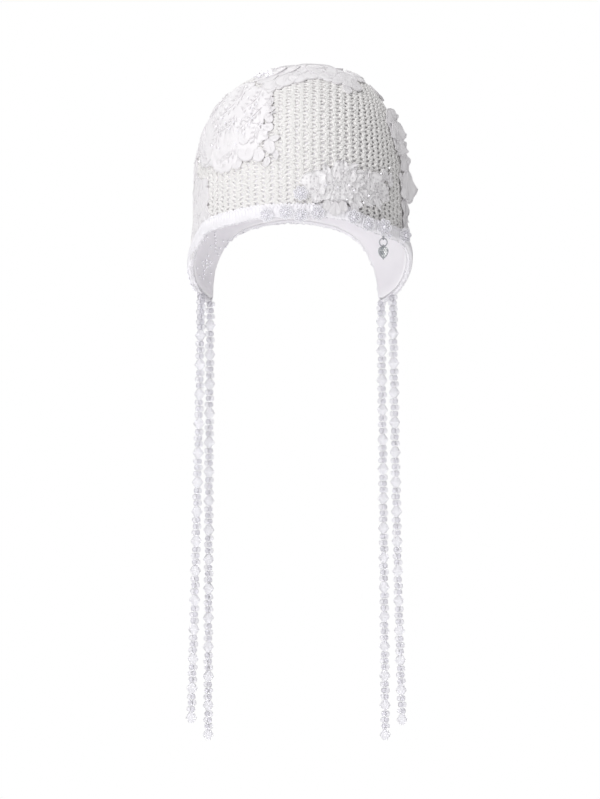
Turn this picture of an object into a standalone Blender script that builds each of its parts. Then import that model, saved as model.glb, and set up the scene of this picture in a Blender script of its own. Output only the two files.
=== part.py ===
"""Lace crochet bonnet with ear flaps, beaded ties and a heart charm, in the form that it has when worn.

Metres, +Z up, the front faces -Y. The origin is the centre of the head opening, at the height of
the hem over the forehead. Angles round the head are degrees from the front, positive towards +X.
"""
import math

import bmesh
import bpy
import numpy as np
from mathutils import Matrix, Vector

# Crown: outside of the crochet
HALF_WIDTH = 0.0905
HALF_DEPTH = 0.1000
CROWN_RISE = 0.1250
DOME_FULLNESS = 2.60     # exponent of the dome's curve: 2 is an ellipsoid, more is squarer
POLE_BACK = 0.008        # how far the top of the dome leans to the back
POLE_SIDE = 0.005        # how far it leans towards +X
NAPE_TUCK = 0.05         # share of the depth that the back draws in towards the nape
NAPE_TUCK_TOP = 0.050    # height where that starts

# Walls
CROCHET_WALL = 0.0026
LINING_WALL = 0.0010
LAYER_GAP = 0.0007       # between crochet and lining
TRIM_LIFT = 0.0009       # between crochet and what is sewn on it, at the corners of its faces
SEAT_GAP = 0.0004        # between small pieces and what carries them
LINING_SHORT = 0.0020    # how far the lining stops above the hem

# Ear flaps
FLAP_DROP = 0.0700       # from the forehead hem down to the flap's tip
TIP_ANGLE = 121.0        # where the tip is, from the front

# The hem from front to back, on the -X side and the +X side: drops are shares of FLAP_DROP
HEM_LINE = (
    dict(angle=0.0, left=0.00, right=0.00),
    dict(angle=20.0, left=0.01, right=0.035),
    dict(angle=30.0, left=0.03, right=0.12),
    dict(angle=40.0, left=0.07, right=0.19),
    dict(angle=52.0, left=0.12, right=0.25),
    dict(angle=64.0, left=0.18, right=0.30),
    dict(angle=72.0, left=0.31, right=0.37),
    dict(angle=90.0, left=0.58, right=0.58),
    dict(angle=106.0, left=0.86, right=0.86),
    dict(angle=114.0, left=0.955, right=0.955),
    dict(angle=TIP_ANGLE, left=1.00, right=1.00),
    dict(angle=126.0, left=0.86, right=0.86),
    dict(angle=132.0, left=0.58, right=0.58),
    dict(angle=142.0, left=0.27, right=0.27),
    dict(angle=158.0, left=0.09, right=0.09),
    dict(angle=180.0, left=0.02, right=0.02),
)

# Width of the level sections below the forehead hem, as a share of the one at the hem
FLAP_SECTIONS = (
    dict(drop=0.00, spread=1.000),
    dict(drop=0.20, spread=1.012),
    dict(drop=0.43, spread=1.024),
    dict(drop=0.60, spread=1.026),
    dict(drop=0.79, spread=1.006),
    dict(drop=1.00, spread=0.960),
)

# Mesh of the shells
DOME_ROWS = 8
ROW_CROWDING = 1.25      # exponent that puts the dome's rows closer together near the pole
SKIRT_ROWS = 4
BELT_TILT = 86.4         # degrees from the pole to the last row of the dome
COLUMNS_TO_TIP = 15      # from the front to the flap's tip
COLUMNS_TO_NAPE = 8      # from there to the back
FRAME_STEP = 0.5         # degrees between the points that a direction on a wall is taken from

# Hem band
BAND_WIDTH = 0.0090
BAND_THICK = 0.0014
BAND_OVERHANG = 0.0008   # how far it covers the hem's edge

# Beaded rosettes on the hem: rise is from the hem line to the centre
ROSETTE_RADIUS = 0.0053
ROSETTE_RIM = 0.0012
ROSETTE_HEIGHT = 0.0030
ROSETTE_PETALS = 6
ROSETTE_NOTCH = 0.82     # radius between two petals, as a share
ROSETTES = (
    dict(angle=-21.5, rise=0.0005),
    dict(angle=-11.5, rise=0.0022),
    dict(angle=-4.0, rise=-0.0004),
    dict(angle=4.6, rise=0.0014),
    dict(angle=24.0, rise=0.0026),
    dict(angle=32.5, rise=0.0020),
    dict(angle=43.0, rise=0.0046),
    dict(angle=62.0, rise=0.0040),
    dict(angle=-4.0, rise=0.0180),
)
CHARM_ROSETTE = 6        # the charm hangs under this one

# Lace patches: tilt is from the pole, half sizes as shares of HALF_WIDTH, turn in degrees
LACE_THICK = 0.0013
LACE_RELIEF = 0.0011
LACE_SIDES = 24
LACE_RINGS = 3
LACE_PATCHES = (
    dict(name="lace_top", angle=55.0, tilt=8.0, wide=0.62, tall=0.46, lobes=6, notch=0.20, turn=-55.0),
    dict(name="lace_left", angle=-56.0, tilt=58.0, wide=0.58, tall=0.50, lobes=6, notch=0.18, turn=-14.0),
    dict(name="lace_front", angle=27.5, tilt=81.2, wide=0.50, tall=0.25, lobes=6, notch=0.22, turn=3.0),
)

# Raised petals down the right side, sewn on by their front edges: length and width as shares of
# HALF_WIDTH, lean is the free end off the crochet, roll is the rear edge off it, turn is the way
# the petal points, 180 is down, all in degrees
PETAL_THICK = 0.0012
PETAL_SEAT = 0.0002      # from the crochet to the nearest edge of a petal
PETAL_CROWN = 0.0010     # how much the middle of a petal is thicker
PETAL_SIDES = 10
PETAL_ROOT = 0.75        # share of the width near the sewn end
PETAL_WIDENS = 0.35      # what is added to that share by the free end
PETALS = (
    dict(name="petal_side_1", angle=80.0, tilt=50.5, long=0.14, wide=0.12, lean=6.0, roll=12.0, turn=160.0),
    dict(name="petal_side_2", angle=80.0, tilt=57.5, long=0.21, wide=0.13, lean=3.0, roll=8.0, turn=155.0),
    dict(name="petal_side_3", angle=80.0, tilt=66.0, long=0.13, wide=0.14, lean=2.0, roll=10.0, turn=170.0),
    dict(name="petal_side_4", angle=81.0, tilt=72.5, long=0.13, wide=0.13, lean=2.0, roll=14.0, turn=175.0),
    dict(name="petal_side_5", angle=81.0, tilt=79.0, long=0.27, wide=0.17, lean=1.0, roll=13.0, turn=180.0),
)

# Ties: start is from the flap's edge down to the first large bead, pitch from one large bead to the
# next, mid and end are how far half of the length and the end are towards +X, all in BEAD_PITCH
BEAD_PITCH = 0.0250
BEAD_WIDTH = 0.0085
BEAD_HEIGHT = 0.0092
BEAD_NECK = 0.0015       # radius where a large bead meets the next
CLUSTER_RADIUS = 0.0037
CLUSTER_GAP = 0.0005
STRAND_SIDES = 10
STRAND_INSIDE = 0.0013   # depth of the thread's axis inside the outer face of the crochet
TAB_WIDTH = 0.0060
TAB_HEIGHT = 0.0045
TAB_THICK = 0.0024
TAB_BEVEL = 0.0007
STRANDS = (
    dict(side="left_front", angle=-110.0, beads=14, start=1.424, pitch=0.996, mid=-0.14, end=-0.34),
    dict(side="left_rear", angle=-121.5, beads=15, start=0.848, pitch=0.992, mid=-0.05, end=-0.07),
    dict(side="right_rear", angle=122.0, beads=15, start=0.720, pitch=1.004, mid=0.08, end=0.14),
    dict(side="right_front", angle=110.5, beads=14, start=1.336, pitch=1.008, mid=0.12, end=0.32),
)

# Charm
RING_RADIUS = 0.0033
RING_WIRE = 0.0005
EYELET_RADIUS = 0.0022
EYELET_WIRE = 0.00045
BAIL_RADIUS = 0.00135
BAIL_WIRE = 0.0004
LINK_GAP = 0.0003
HEART_WIDTH = 0.0086
HEART_HEIGHT = 0.0098    # from the notch to the point
HEART_THICK = 0.0036
HEART_LOBE = 0.5         # how far the two lobes stand over the notch
HEART_TABLE = 0.55       # size of the flat table as a share of the outline
HEART_SIDES = 16
CHARM_YAW = 8.0          # how far the charm's face turns from the front towards +X

# Colours, linear
IVORY_YARN = (0.84, 0.83, 0.79)
COOL_WHITE_LACE = (0.84, 0.83, 0.87)
COOL_JERSEY = (0.76, 0.75, 0.80)
CRYSTAL = (0.82, 0.81, 0.88)
SILVER = (0.55, 0.55, 0.56)


def clear_scene():
    """Removes every object that is there at the start."""
    for old in list(bpy.data.objects):
        bpy.data.objects.remove(old, do_unlink=True)


def material(name, colour, roughness, metallic=0.0):
    """A Principled material with one colour."""
    made = bpy.data.materials.new(name)
    made.use_nodes = True
    shader = made.node_tree.nodes["Principled BSDF"]
    shader.inputs["Base Color"].default_value = (*colour, 1.0)
    shader.inputs["Roughness"].default_value = roughness
    shader.inputs["Metallic"].default_value = metallic
    return made


def add_object(name, points, faces, finish):
    """Makes a smooth-shaded object from points and faces, with its faces pointing out."""
    mesh = bpy.data.meshes.new(name)
    mesh.from_pydata([tuple(float(v) for v in p) for p in points], [], faces)
    body = bmesh.new()
    body.from_mesh(mesh)
    bmesh.ops.recalc_face_normals(body, faces=body.faces)
    body.to_mesh(mesh)
    body.free()
    mesh.shade_smooth()
    mesh.set_sharp_from_angle(angle=math.radians(40.0))
    mesh.materials.append(finish)
    made = bpy.data.objects.new(name, mesh)
    bpy.context.scene.collection.objects.link(made)
    return made


def curve_through(at, xs, ys):
    """Monotone cubic through the points (xs, ys), which has no bumps between them."""
    xs, ys = np.asarray(xs, float), np.asarray(ys, float)
    step = np.diff(xs)
    slope = np.diff(ys) / step
    product, total = slope[:-1] * slope[1:], slope[:-1] + slope[1:]
    same_way = product > 0
    inner = np.where(same_way, 2 * product / np.where(same_way, total, 1.0), 0.0)
    tangent = np.concatenate([[0.0], inner, [0.0]])
    at = np.clip(at, xs[0], xs[-1])
    i = np.clip(np.searchsorted(xs, at) - 1, 0, len(xs) - 2)
    t = (at - xs[i]) / step[i]
    return (ys[i] * (1 + 2 * t) * (1 - t) ** 2 + ys[i + 1] * t * t * (3 - 2 * t)
            + step[i] * (tangent[i] * t * (1 - t) ** 2 + tangent[i + 1] * t * t * (t - 1)))


def column(table, key):
    """One named column of a table."""
    return [row[key] for row in table]


def hem_height(angle):
    """Height of the hem line at an angle in degrees."""
    turned = (np.asarray(angle, float) + 180.0) % 360.0 - 180.0
    left, right = [curve_through(np.abs(turned), column(HEM_LINE, "angle"), column(HEM_LINE, side))
                   for side in ("left", "right")]
    return -FLAP_DROP * np.where(turned < 0.0, left, right)


def section_share(height, rise):
    """Size of the level section at a height, as a share of the one at the forehead hem."""
    up = np.clip(height / rise, 0.0, 1.0)
    down = np.clip(-height / FLAP_DROP, 0.0, 1.0)
    dome = (1.0 - up ** DOME_FULLNESS) ** (1.0 / DOME_FULLNESS)
    return dome * curve_through(down, column(FLAP_SECTIONS, "drop"), column(FLAP_SECTIONS, "spread"))


def settle(x, y, z):
    """Leans the dome back and towards +X and draws the nape in."""
    back = POLE_BACK * np.clip(z / CROWN_RISE, 0.0, None) ** 2
    x = x + POLE_SIDE * np.clip(z / CROWN_RISE, 0.0, None) ** 4
    low = np.clip((NAPE_TUCK_TOP - z) / (NAPE_TUCK_TOP + FLAP_DROP), 0.0, 1.0)
    rear = np.clip(y / HALF_DEPTH, 0.0, None) ** 2
    return np.stack([x, y * (1.0 - NAPE_TUCK * rear * low * (3.0 - 2.0 * low)) + back, z], axis=-1)


def on_wall(angle, height, lift):
    """Point of the shell at an angle and height, lift outside of the crochet's outer face."""
    share = section_share(np.asarray(height, float), CROWN_RISE + lift)
    turn = np.radians(angle)
    return settle((HALF_WIDTH + lift) * share * np.sin(turn),
                  -(HALF_DEPTH + lift) * share * np.cos(turn), np.asarray(height, float) + 0.0 * turn)


def on_dome(direction, lift):
    """Point where a ray from the origin meets the dome, lift outside of the crochet."""
    x, y, z = np.moveaxis(np.asarray(direction, float), -1, 0)
    plan = np.hypot(x / (HALF_WIDTH + lift), y / (HALF_DEPTH + lift))
    up = np.abs(z / (CROWN_RISE + lift))
    reach = (plan ** DOME_FULLNESS + up ** DOME_FULLNESS) ** (-1.0 / DOME_FULLNESS)
    return settle(x * reach, y * reach, z * reach)


def dome_direction(angle, tilt):
    """Direction from the origin to the dome, tilt degrees from the pole on the dome's own curve."""
    power = 2.0 / DOME_FULLNESS
    turn, lean = np.radians(angle), np.radians(tilt)
    plan = np.sin(lean) ** power
    return np.array([HALF_WIDTH * plan * np.sin(turn), -HALF_DEPTH * plan * np.cos(turn),
                     CROWN_RISE * np.cos(lean) ** power])


def column_angles():
    """Angles of the shell's columns, spaced by hem length and turn together, with one on each tip."""
    fine = np.linspace(0.0, 180.0, 721)
    places = on_wall(fine, hem_height(fine), 0.0)
    along = np.concatenate([[0.0], np.cumsum(np.linalg.norm(np.diff(places, axis=0), axis=1))])
    measure = along / along[-1] + fine / fine[-1]
    half = []
    for low, high, count in ((0.0, TIP_ANGLE, COLUMNS_TO_TIP), (TIP_ANGLE, 180.0, COLUMNS_TO_NAPE)):
        ends = np.interp([low, high], fine, measure)
        half.extend(np.interp(np.linspace(*ends, count + 1)[:-1], measure, fine))
    return np.array(half + [180.0] + [-angle for angle in half[:0:-1]])


def shell_rows(angles, lift, hem_raise, dome_step):
    """Rings of points from near the pole down to the hem, with every dome_step-th row of the dome."""
    rings = []
    for row in range(dome_step, DOME_ROWS + 1, dome_step):
        tilt = math.radians(BELT_TILT) * (row / DOME_ROWS) ** ROW_CROWDING
        height = (CROWN_RISE + lift) * math.cos(tilt) ** (2.0 / DOME_FULLNESS)
        rings.append(on_wall(angles, height, lift))
    belt = height
    low = hem_height(angles) + hem_raise
    for row in range(1, SKIRT_ROWS + 1):
        rings.append(on_wall(angles, belt + (low - belt) * row / SKIRT_ROWS, lift))
    return rings


def ring_faces(first, second, count, other_diagonal=False):
    """Triangles between two closed rings that start at the given point numbers."""
    faces = []
    for i in range(count):
        j = (i + 1) % count
        if other_diagonal:
            faces += [(first + i, first + j, second + i), (first + j, second + j, second + i)]
        else:
            faces += [(first + i, first + j, second + j), (first + i, second + j, second + i)]
    return faces


def fan_faces(centre, ring, count):
    """Triangles from a centre point to a closed ring."""
    return [(centre, ring + i, ring + (i + 1) % count) for i in range(count)]


def stack_rings(rings, start_cap, end_cap, turn_back=None):
    """Points and faces of rings joined in order, with a fan closing each end.

    From ring turn_back on, the diagonals are the other way, so that the inside of a folded wall has
    the same facets as its outside.
    """
    count = len(rings[0])
    points = [p for ring in rings for p in ring]
    faces = []
    for k in range(len(rings) - 1):
        faces += ring_faces(k * count, (k + 1) * count, count, turn_back is not None and k >= turn_back)
    for centre, ring in ((start_cap, 0), (end_cap, len(rings) - 1)):
        faces += fan_faces(len(points), ring * count, count)
        points.append(centre)
    return points, faces


def make_shell(name, outer_lift, inner_lift, hem_raise, dome_step, finish):
    """A cap with two faces and a hem: down the outside, round the edge and up the inside."""
    angles = column_angles()
    outer = shell_rows(angles, outer_lift, hem_raise, dome_step)
    inner = shell_rows(angles, inner_lift, hem_raise, dome_step)
    poles = [on_dome((0.0, 0.0, 1.0), lift) for lift in (outer_lift, inner_lift)]
    points, faces = stack_rings(outer + inner[::-1], poles[0], poles[1], turn_back=len(outer))
    return add_object(name, points, faces, finish)


def band_edges(angles, width, overhang):
    """Angle and height of the band's lower and upper edge, square to the hem on the flattened wall."""
    fine = np.linspace(-200.0, 200.0, 3201)
    level = on_wall(fine, np.zeros_like(fine), 0.0)
    along = np.concatenate([[0.0], np.cumsum(np.linalg.norm(np.diff(level, axis=0), axis=1))])
    height = hem_height(fine)
    run, climb = np.gradient(along), np.gradient(height)
    size = np.hypot(run, climb)
    at = np.interp(angles, fine, along)
    side, up = np.interp(angles, fine, -climb / size), np.interp(angles, fine, run / size)
    edges = []
    for offset in (-overhang, width):
        turned = np.interp(at + offset * side, along, fine)
        edges.append((turned, hem_height(angles) + offset * up))
    return edges


def make_hem_band(finish):
    """A flat strip sewn round the outside of the whole hem."""
    (low_angle, low), (high_angle, high) = band_edges(column_angles(), BAND_WIDTH, BAND_OVERHANG)
    near, far = TRIM_LIFT, TRIM_LIFT + BAND_THICK
    rings = [on_wall(low_angle, low, near), on_wall(low_angle, low, far),
             on_wall(high_angle, high, far), on_wall(high_angle, high, near)]
    count = len(low)
    faces = []
    for k in range(4):
        faces += ring_faces(k * count, (k + 1) % 4 * count, count)
    return add_object("hem_band", np.concatenate(rings), faces, finish)


def outward_frame(angle, height, lift):
    """Point on the wall and its sideways, upward and outward directions."""
    right, left = [Vector(on_wall(angle + turn, height, lift)) for turn in (FRAME_STEP, -FRAME_STEP)]
    rise = math.radians(FRAME_STEP) * HALF_WIDTH
    above, below = [Vector(on_wall(angle, height + step, lift)) for step in (rise, -rise)]
    side = (right - left).normalized()
    out = side.cross(above - below).normalized()
    return Vector(on_wall(angle, height, lift)), side, out.cross(side), out


def rosette_seat(row):
    """How far outside of the crochet a rosette's back is: on the hem band, or on the crochet over it."""
    return SEAT_GAP + (TRIM_LIFT + BAND_THICK if row["rise"] < BAND_WIDTH else 0.0)


def make_rosette(number, row, finish):
    """A beaded flower: a scalloped button with a raised middle."""
    height = float(hem_height(row["angle"])) + row["rise"]
    place, side, up, out = outward_frame(row["angle"], height, rosette_seat(row))
    base, rim = [], []
    for i in range(2 * ROSETTE_PETALS):
        turn = math.pi * i / ROSETTE_PETALS
        radius = ROSETTE_RADIUS * (ROSETTE_NOTCH if i % 2 else 1.0)
        spoke = place + radius * (math.cos(turn) * side + math.sin(turn) * up)
        base.append(spoke)
        rim.append(spoke + ROSETTE_RIM * out)
    points, faces = stack_rings([base, rim], place, place + ROSETTE_HEIGHT * out)
    return add_object("rosette_%d" % (number + 1), points, faces, finish)


def make_lace(row, finish):
    """A scalloped lace patch on the dome, raised where its petals are."""
    centre = dome_direction(row["angle"], row["tilt"])
    side = np.array([math.cos(math.radians(row["angle"])), math.sin(math.radians(row["angle"])), 0.0])
    up = np.cross(centre, side)
    up = up / np.linalg.norm(up) * (-1.0 if up[2] < 0 else 1.0)
    turn = math.radians(row["turn"])
    side, up = side * math.cos(turn) + up * math.sin(turn), up * math.cos(turn) - side * math.sin(turn)
    spin = 2.0 * np.pi * np.arange(LACE_SIDES) / LACE_SIDES
    lobe = np.abs(np.cos(row["lobes"] * spin / 2.0))
    outline = 1.0 - row["notch"] * (1.0 - lobe)

    def ring(part, lift):
        across = row["wide"] * HALF_WIDTH * part * outline * np.cos(spin)
        along = row["tall"] * HALF_WIDTH * part * outline * np.sin(spin)
        return on_dome(centre + across[:, None] * side + along[:, None] * up, lift)

    under = [ring(k / LACE_RINGS, TRIM_LIFT) for k in range(1, LACE_RINGS + 1)]
    over = []
    for k in range(LACE_RINGS, 0, -1):
        hump = LACE_RELIEF if k < LACE_RINGS else 0.0
        over.append(ring(k / LACE_RINGS, TRIM_LIFT + LACE_THICK + hump))
    points, faces = stack_rings(under + over, on_dome(centre, TRIM_LIFT),
                                on_dome(centre, TRIM_LIFT + LACE_THICK + LACE_RELIEF))
    return add_object(row["name"], points, faces, finish)


def off_dome(place):
    """About how far a point is outside of the crochet's outer face, on the dome."""
    up = max(place.z / CROWN_RISE, 0.0)
    x, y = place.x - POLE_SIDE * up ** 4, place.y - POLE_BACK * up ** 2
    plan = math.hypot(x / HALF_WIDTH, y / HALF_DEPTH)
    level = (plan ** DOME_FULLNESS + up ** DOME_FULLNESS) ** (1.0 / DOME_FULLNESS)
    return (1.0 - 1.0 / level) * math.hypot(x, y)


def make_petal(row, finish):
    """A petal sewn on by its front edge, whose other end and edge stand off the crochet."""
    length, width = row["long"] * HALF_WIDTH, row["wide"] * HALF_WIDTH
    spots = [dome_direction(row["angle"] + turn * FRAME_STEP, row["tilt"] + lean * FRAME_STEP)
             for turn, lean in ((0.0, 0.0), (1.0, 0.0), (-1.0, 0.0), (0.0, -1.0), (0.0, 1.0))]
    place, right, left, above, below = [Vector(on_dome(spot, 0.0)) for spot in spots]
    out = (right - left).cross(above - below).normalized()
    up = (above - below).normalized()
    turned = Matrix.Rotation(-math.radians(row["turn"]), 3, out)
    stem, side = turned @ up, turned @ up.cross(out)
    lean = Matrix.Rotation(math.radians(row["lean"]), 3, side)
    stem = lean @ stem
    roll = Matrix.Rotation(math.radians(row["roll"]), 3, stem)
    side, face = roll @ side, roll @ (lean @ out)
    rim = []
    for i in range(PETAL_SIDES):
        spin = 2.0 * math.pi * i / PETAL_SIDES
        along = 0.5 * length * (1.0 - math.cos(spin))
        across = 0.5 * width * math.sin(spin) * (PETAL_ROOT + PETAL_WIDENS * along / length)
        rim.append(along * stem + across * side)
    seat = out * (PETAL_SEAT - min(off_dome(place + p) for p in rim))
    rim = [place + p + seat for p in rim]
    middle = sum(rim, Vector()) / PETAL_SIDES
    thick = PETAL_THICK * face
    points, faces = stack_rings([rim, [p + thick for p in rim]], middle, middle + thick + PETAL_CROWN * face)
    return add_object(row["name"], points, faces, finish)


def strand_axis(row):
    """Top point of a tie's thread and a function for its sideways place at a depth below that."""
    tip = on_wall(row["angle"], hem_height(row["angle"]), -STRAND_INSIDE)
    length = BEAD_PITCH * (row["start"] + (row["beads"] - 1) * row["pitch"])

    def sway(depth):
        t = min(max(depth / length, 0.0), 1.0)
        bend = 2.0 * row["end"] - 4.0 * row["mid"]
        return BEAD_PITCH * (bend * t * t + (row["end"] - bend) * t)

    return Vector(tip), sway


def make_tab(row, finish):
    """The small sewn tab that a tie hangs from, under the flap's edge."""
    tip, _ = strand_axis(row)
    side = outward_frame(row["angle"], 0.0, 0.0)[1]
    box = bmesh.new()
    bmesh.ops.create_cube(box, size=1.0)
    bmesh.ops.scale(box, vec=(TAB_WIDTH, TAB_THICK, TAB_HEIGHT), verts=box.verts)
    upright = [e for e in box.edges if abs((e.verts[0].co - e.verts[1].co).y) > 0.5 * TAB_THICK]
    bmesh.ops.bevel(box, geom=upright, offset=TAB_BEVEL, segments=2, affect="EDGES")
    bmesh.ops.triangulate(box, faces=box.faces)
    top = min(tip.z, tab_ceiling(row)) - SEAT_GAP
    spin = Matrix.Rotation(math.atan2(side.y, side.x), 4, "Z")
    place = Matrix.Translation((tip.x, tip.y, top - 0.5 * TAB_HEIGHT))
    points = [place @ spin @ v.co for v in box.verts]
    faces = [tuple(v.index for v in f.verts) for f in box.faces]
    box.free()
    return add_object("tab_" + row["side"], points, faces, finish)


def tab_ceiling(row):
    """Lowest height of the hem over the tab's width, less what the band hangs over the edge."""
    reach = math.degrees(0.5 * TAB_WIDTH / HALF_WIDTH)
    spots = np.array([row["angle"] - reach, row["angle"], row["angle"] + reach])
    return float(hem_height(spots).min()) - BAND_OVERHANG


def strand_profile(row):
    """Depth and radius down a tie: a cluster of small beads, then a large pointed bead, and so on."""
    half = 0.5 * BEAD_HEIGHT
    first = TAB_HEIGHT + 2.0 * SEAT_GAP + row["head"]
    profile = [(first, CLUSTER_RADIUS)]
    for bead in range(row["beads"]):
        centre = BEAD_PITCH * (row["start"] + bead * row["pitch"])
        if bead:
            above = centre - BEAD_PITCH * row["pitch"]
            profile.append((above + half + CLUSTER_GAP, CLUSTER_RADIUS))
        profile.append((centre - half - CLUSTER_GAP, CLUSTER_RADIUS))
        profile.append((centre - half, BEAD_NECK))
        profile.append((centre, 0.5 * BEAD_WIDTH))
        profile.append((centre + half, BEAD_NECK))
    return profile


def make_strand(row, finish):
    """One tie: all its beads fused round their thread, hanging free."""
    tip, sway = strand_axis(row)
    lowered = dict(row, head=tip.z - min(tip.z, tab_ceiling(row)))
    rings = []
    for depth, radius in strand_profile(lowered):
        centre = tip + Vector((sway(depth), 0.0, -depth))
        spins = [2.0 * math.pi * i / STRAND_SIDES for i in range(STRAND_SIDES)]
        rings.append([centre + radius * Vector((math.cos(a), math.sin(a), 0.0)) for a in spins])
    caps = [sum(ring, Vector()) / STRAND_SIDES for ring in (rings[0], rings[-1])]
    points, faces = stack_rings(rings, caps[0], caps[1])
    return add_object("strand_" + row["side"], points, faces, finish)


def torus(centre, across, down, radius, wire, count, sides):
    """Points and faces of a wire ring in the plane of two directions."""
    out = across.cross(down)
    points, faces = [], []
    for i in range(count):
        turn = 2.0 * math.pi * i / count
        spoke = math.cos(turn) * across + math.sin(turn) * down
        for j in range(sides):
            roll = 2.0 * math.pi * j / sides
            points.append(centre + (radius + wire * math.cos(roll)) * spoke + wire * math.sin(roll) * out)
    for i in range(count):
        for j in range(sides):
            a, b = i * sides + j, i * sides + (j + 1) % sides
            c, d = (i + 1) % count * sides + j, (i + 1) % count * sides + (j + 1) % sides
            faces += [(a, b, d), (a, d, c)]
    return points, faces


def heart_outline(size):
    """Heart-shaped ring: a circle whose height gains HEART_LOBE times the root of its width."""
    ring = []
    for i in range(HEART_SIDES):
        t = 2.0 * math.pi * i / HEART_SIDES
        high = math.cos(t) + HEART_LOBE * math.sqrt(abs(math.sin(t)))
        ring.append((0.5 * size * math.sin(t), 0.5 * size * high))
    return ring


def make_charm(silver):
    """The eyelet under its rosette, the jump ring, and the faceted heart with its bail."""
    row = ROSETTES[CHARM_ROSETTE]
    height = float(hem_height(row["angle"])) + row["rise"]
    middle = outward_frame(row["angle"], height, rosette_seat(row) + 0.5 * ROSETTE_RIM)[0]
    yaw = math.radians(CHARM_YAW)
    face = Vector((math.sin(yaw), -math.cos(yaw), 0.0))
    across = Vector((math.cos(yaw), math.sin(yaw), 0.0))
    down = Vector((0.0, 0.0, -1.0))
    eyelet_at = middle + down * (ROSETTE_RADIUS + SEAT_GAP + EYELET_RADIUS + EYELET_WIRE)
    ring_top = EYELET_RADIUS - EYELET_WIRE - LINK_GAP - RING_WIRE
    ring_at = eyelet_at + down * (ring_top + RING_RADIUS)
    bail_at = ring_at + down * (RING_RADIUS - RING_WIRE - LINK_GAP - BAIL_WIRE + BAIL_RADIUS)
    heart_at = bail_at + down * (BAIL_RADIUS + 0.5 * HEART_HEIGHT)
    eyelet = torus(eyelet_at, face, down, EYELET_RADIUS, EYELET_WIRE, 10, 5)
    add_object("charm_eyelet", *eyelet, silver)
    ring = torus(ring_at, across, down, RING_RADIUS, RING_WIRE, 12, 5)
    add_object("jump_ring", *ring, silver)

    rings = []
    for size, depth in ((HEART_TABLE, 0.5), (1.0, 0.0), (HEART_TABLE, -0.5)):
        rings.append([heart_at + HEART_WIDTH * x * across - HEART_HEIGHT * z * down
                      + HEART_THICK * depth * face for x, z in heart_outline(size)])
    caps = [sum(outline, Vector()) / HEART_SIDES for outline in (rings[0], rings[-1])]
    heart = add_object("heart_charm", *stack_rings(rings, caps[0], caps[1]), silver)
    bail_wire = torus(bail_at, face, down, BAIL_RADIUS, BAIL_WIRE, 8, 5)
    bail = add_object("bail_to_fuse", *bail_wire, silver)
    bail.hide_render = True
    bail.display_type = "WIRE"
    fuse = heart.modifiers.new("bail", "BOOLEAN")
    fuse.operation = "UNION"
    fuse.solver = "EXACT"
    fuse.object = bail
    return heart


def main():
    clear_scene()
    yarn = material("ivory_yarn", IVORY_YARN, 0.9)
    lace = material("cool_white_lace", COOL_WHITE_LACE, 0.8)
    jersey = material("lining_jersey", COOL_JERSEY, 0.8)
    crystal = material("crystal_beads", CRYSTAL, 0.15)
    silver = material("silver", SILVER, 0.25, 1.0)
    make_shell("crochet_crown", 0.0, -CROCHET_WALL, 0.0, 1, yarn)
    lining_face = -CROCHET_WALL - LAYER_GAP
    make_shell("lining", lining_face, lining_face - LINING_WALL, LINING_SHORT, 2, jersey)
    make_hem_band(lace)
    for number, row in enumerate(ROSETTES):
        make_rosette(number, row, crystal)
    for row in LACE_PATCHES:
        make_lace(row, lace)
    for row in PETALS:
        make_petal(row, lace)
    for row in STRANDS:
        make_tab(row, lace)
        make_strand(row, crystal)
    make_charm(silver)


main()
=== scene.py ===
"""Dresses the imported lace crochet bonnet: crochet in real yarn, lining, lace, beads, charm and stage.

Metres in the row frame: +Z up, the front faces -Y. Angles round the head are degrees from the front,
positive towards +X. The crochet is laid out on its own grid: s is the way round the head from the
middle of the front or back, t is the way up from the height of the forehead hem.
"""
import math

import bpy
import numpy as np
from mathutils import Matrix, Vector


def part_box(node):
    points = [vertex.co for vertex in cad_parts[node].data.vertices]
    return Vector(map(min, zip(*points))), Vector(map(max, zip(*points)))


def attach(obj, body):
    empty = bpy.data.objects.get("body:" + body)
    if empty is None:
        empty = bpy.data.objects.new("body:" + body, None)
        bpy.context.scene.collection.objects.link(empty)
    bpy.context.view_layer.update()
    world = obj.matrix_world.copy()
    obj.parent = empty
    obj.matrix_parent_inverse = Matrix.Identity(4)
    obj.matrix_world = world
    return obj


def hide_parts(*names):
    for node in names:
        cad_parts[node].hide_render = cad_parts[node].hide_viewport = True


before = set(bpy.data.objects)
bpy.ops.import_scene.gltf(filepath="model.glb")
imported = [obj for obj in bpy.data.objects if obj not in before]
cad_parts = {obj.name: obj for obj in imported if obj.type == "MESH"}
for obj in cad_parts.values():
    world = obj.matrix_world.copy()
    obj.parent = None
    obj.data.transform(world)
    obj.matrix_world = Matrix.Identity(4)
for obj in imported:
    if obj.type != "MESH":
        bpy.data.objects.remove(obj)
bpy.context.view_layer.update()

bl_info = {
    "name": "Lace Crochet Bonnet",
    "version": (1, 0, 0),
    "blender": (4, 5, 0),
    "location": "View3D > Sidebar > Bonnet",
    "description": "Builds a crocheted bonnet with lace, bead ties and a heart charm",
    "category": "Add Mesh",
}

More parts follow.
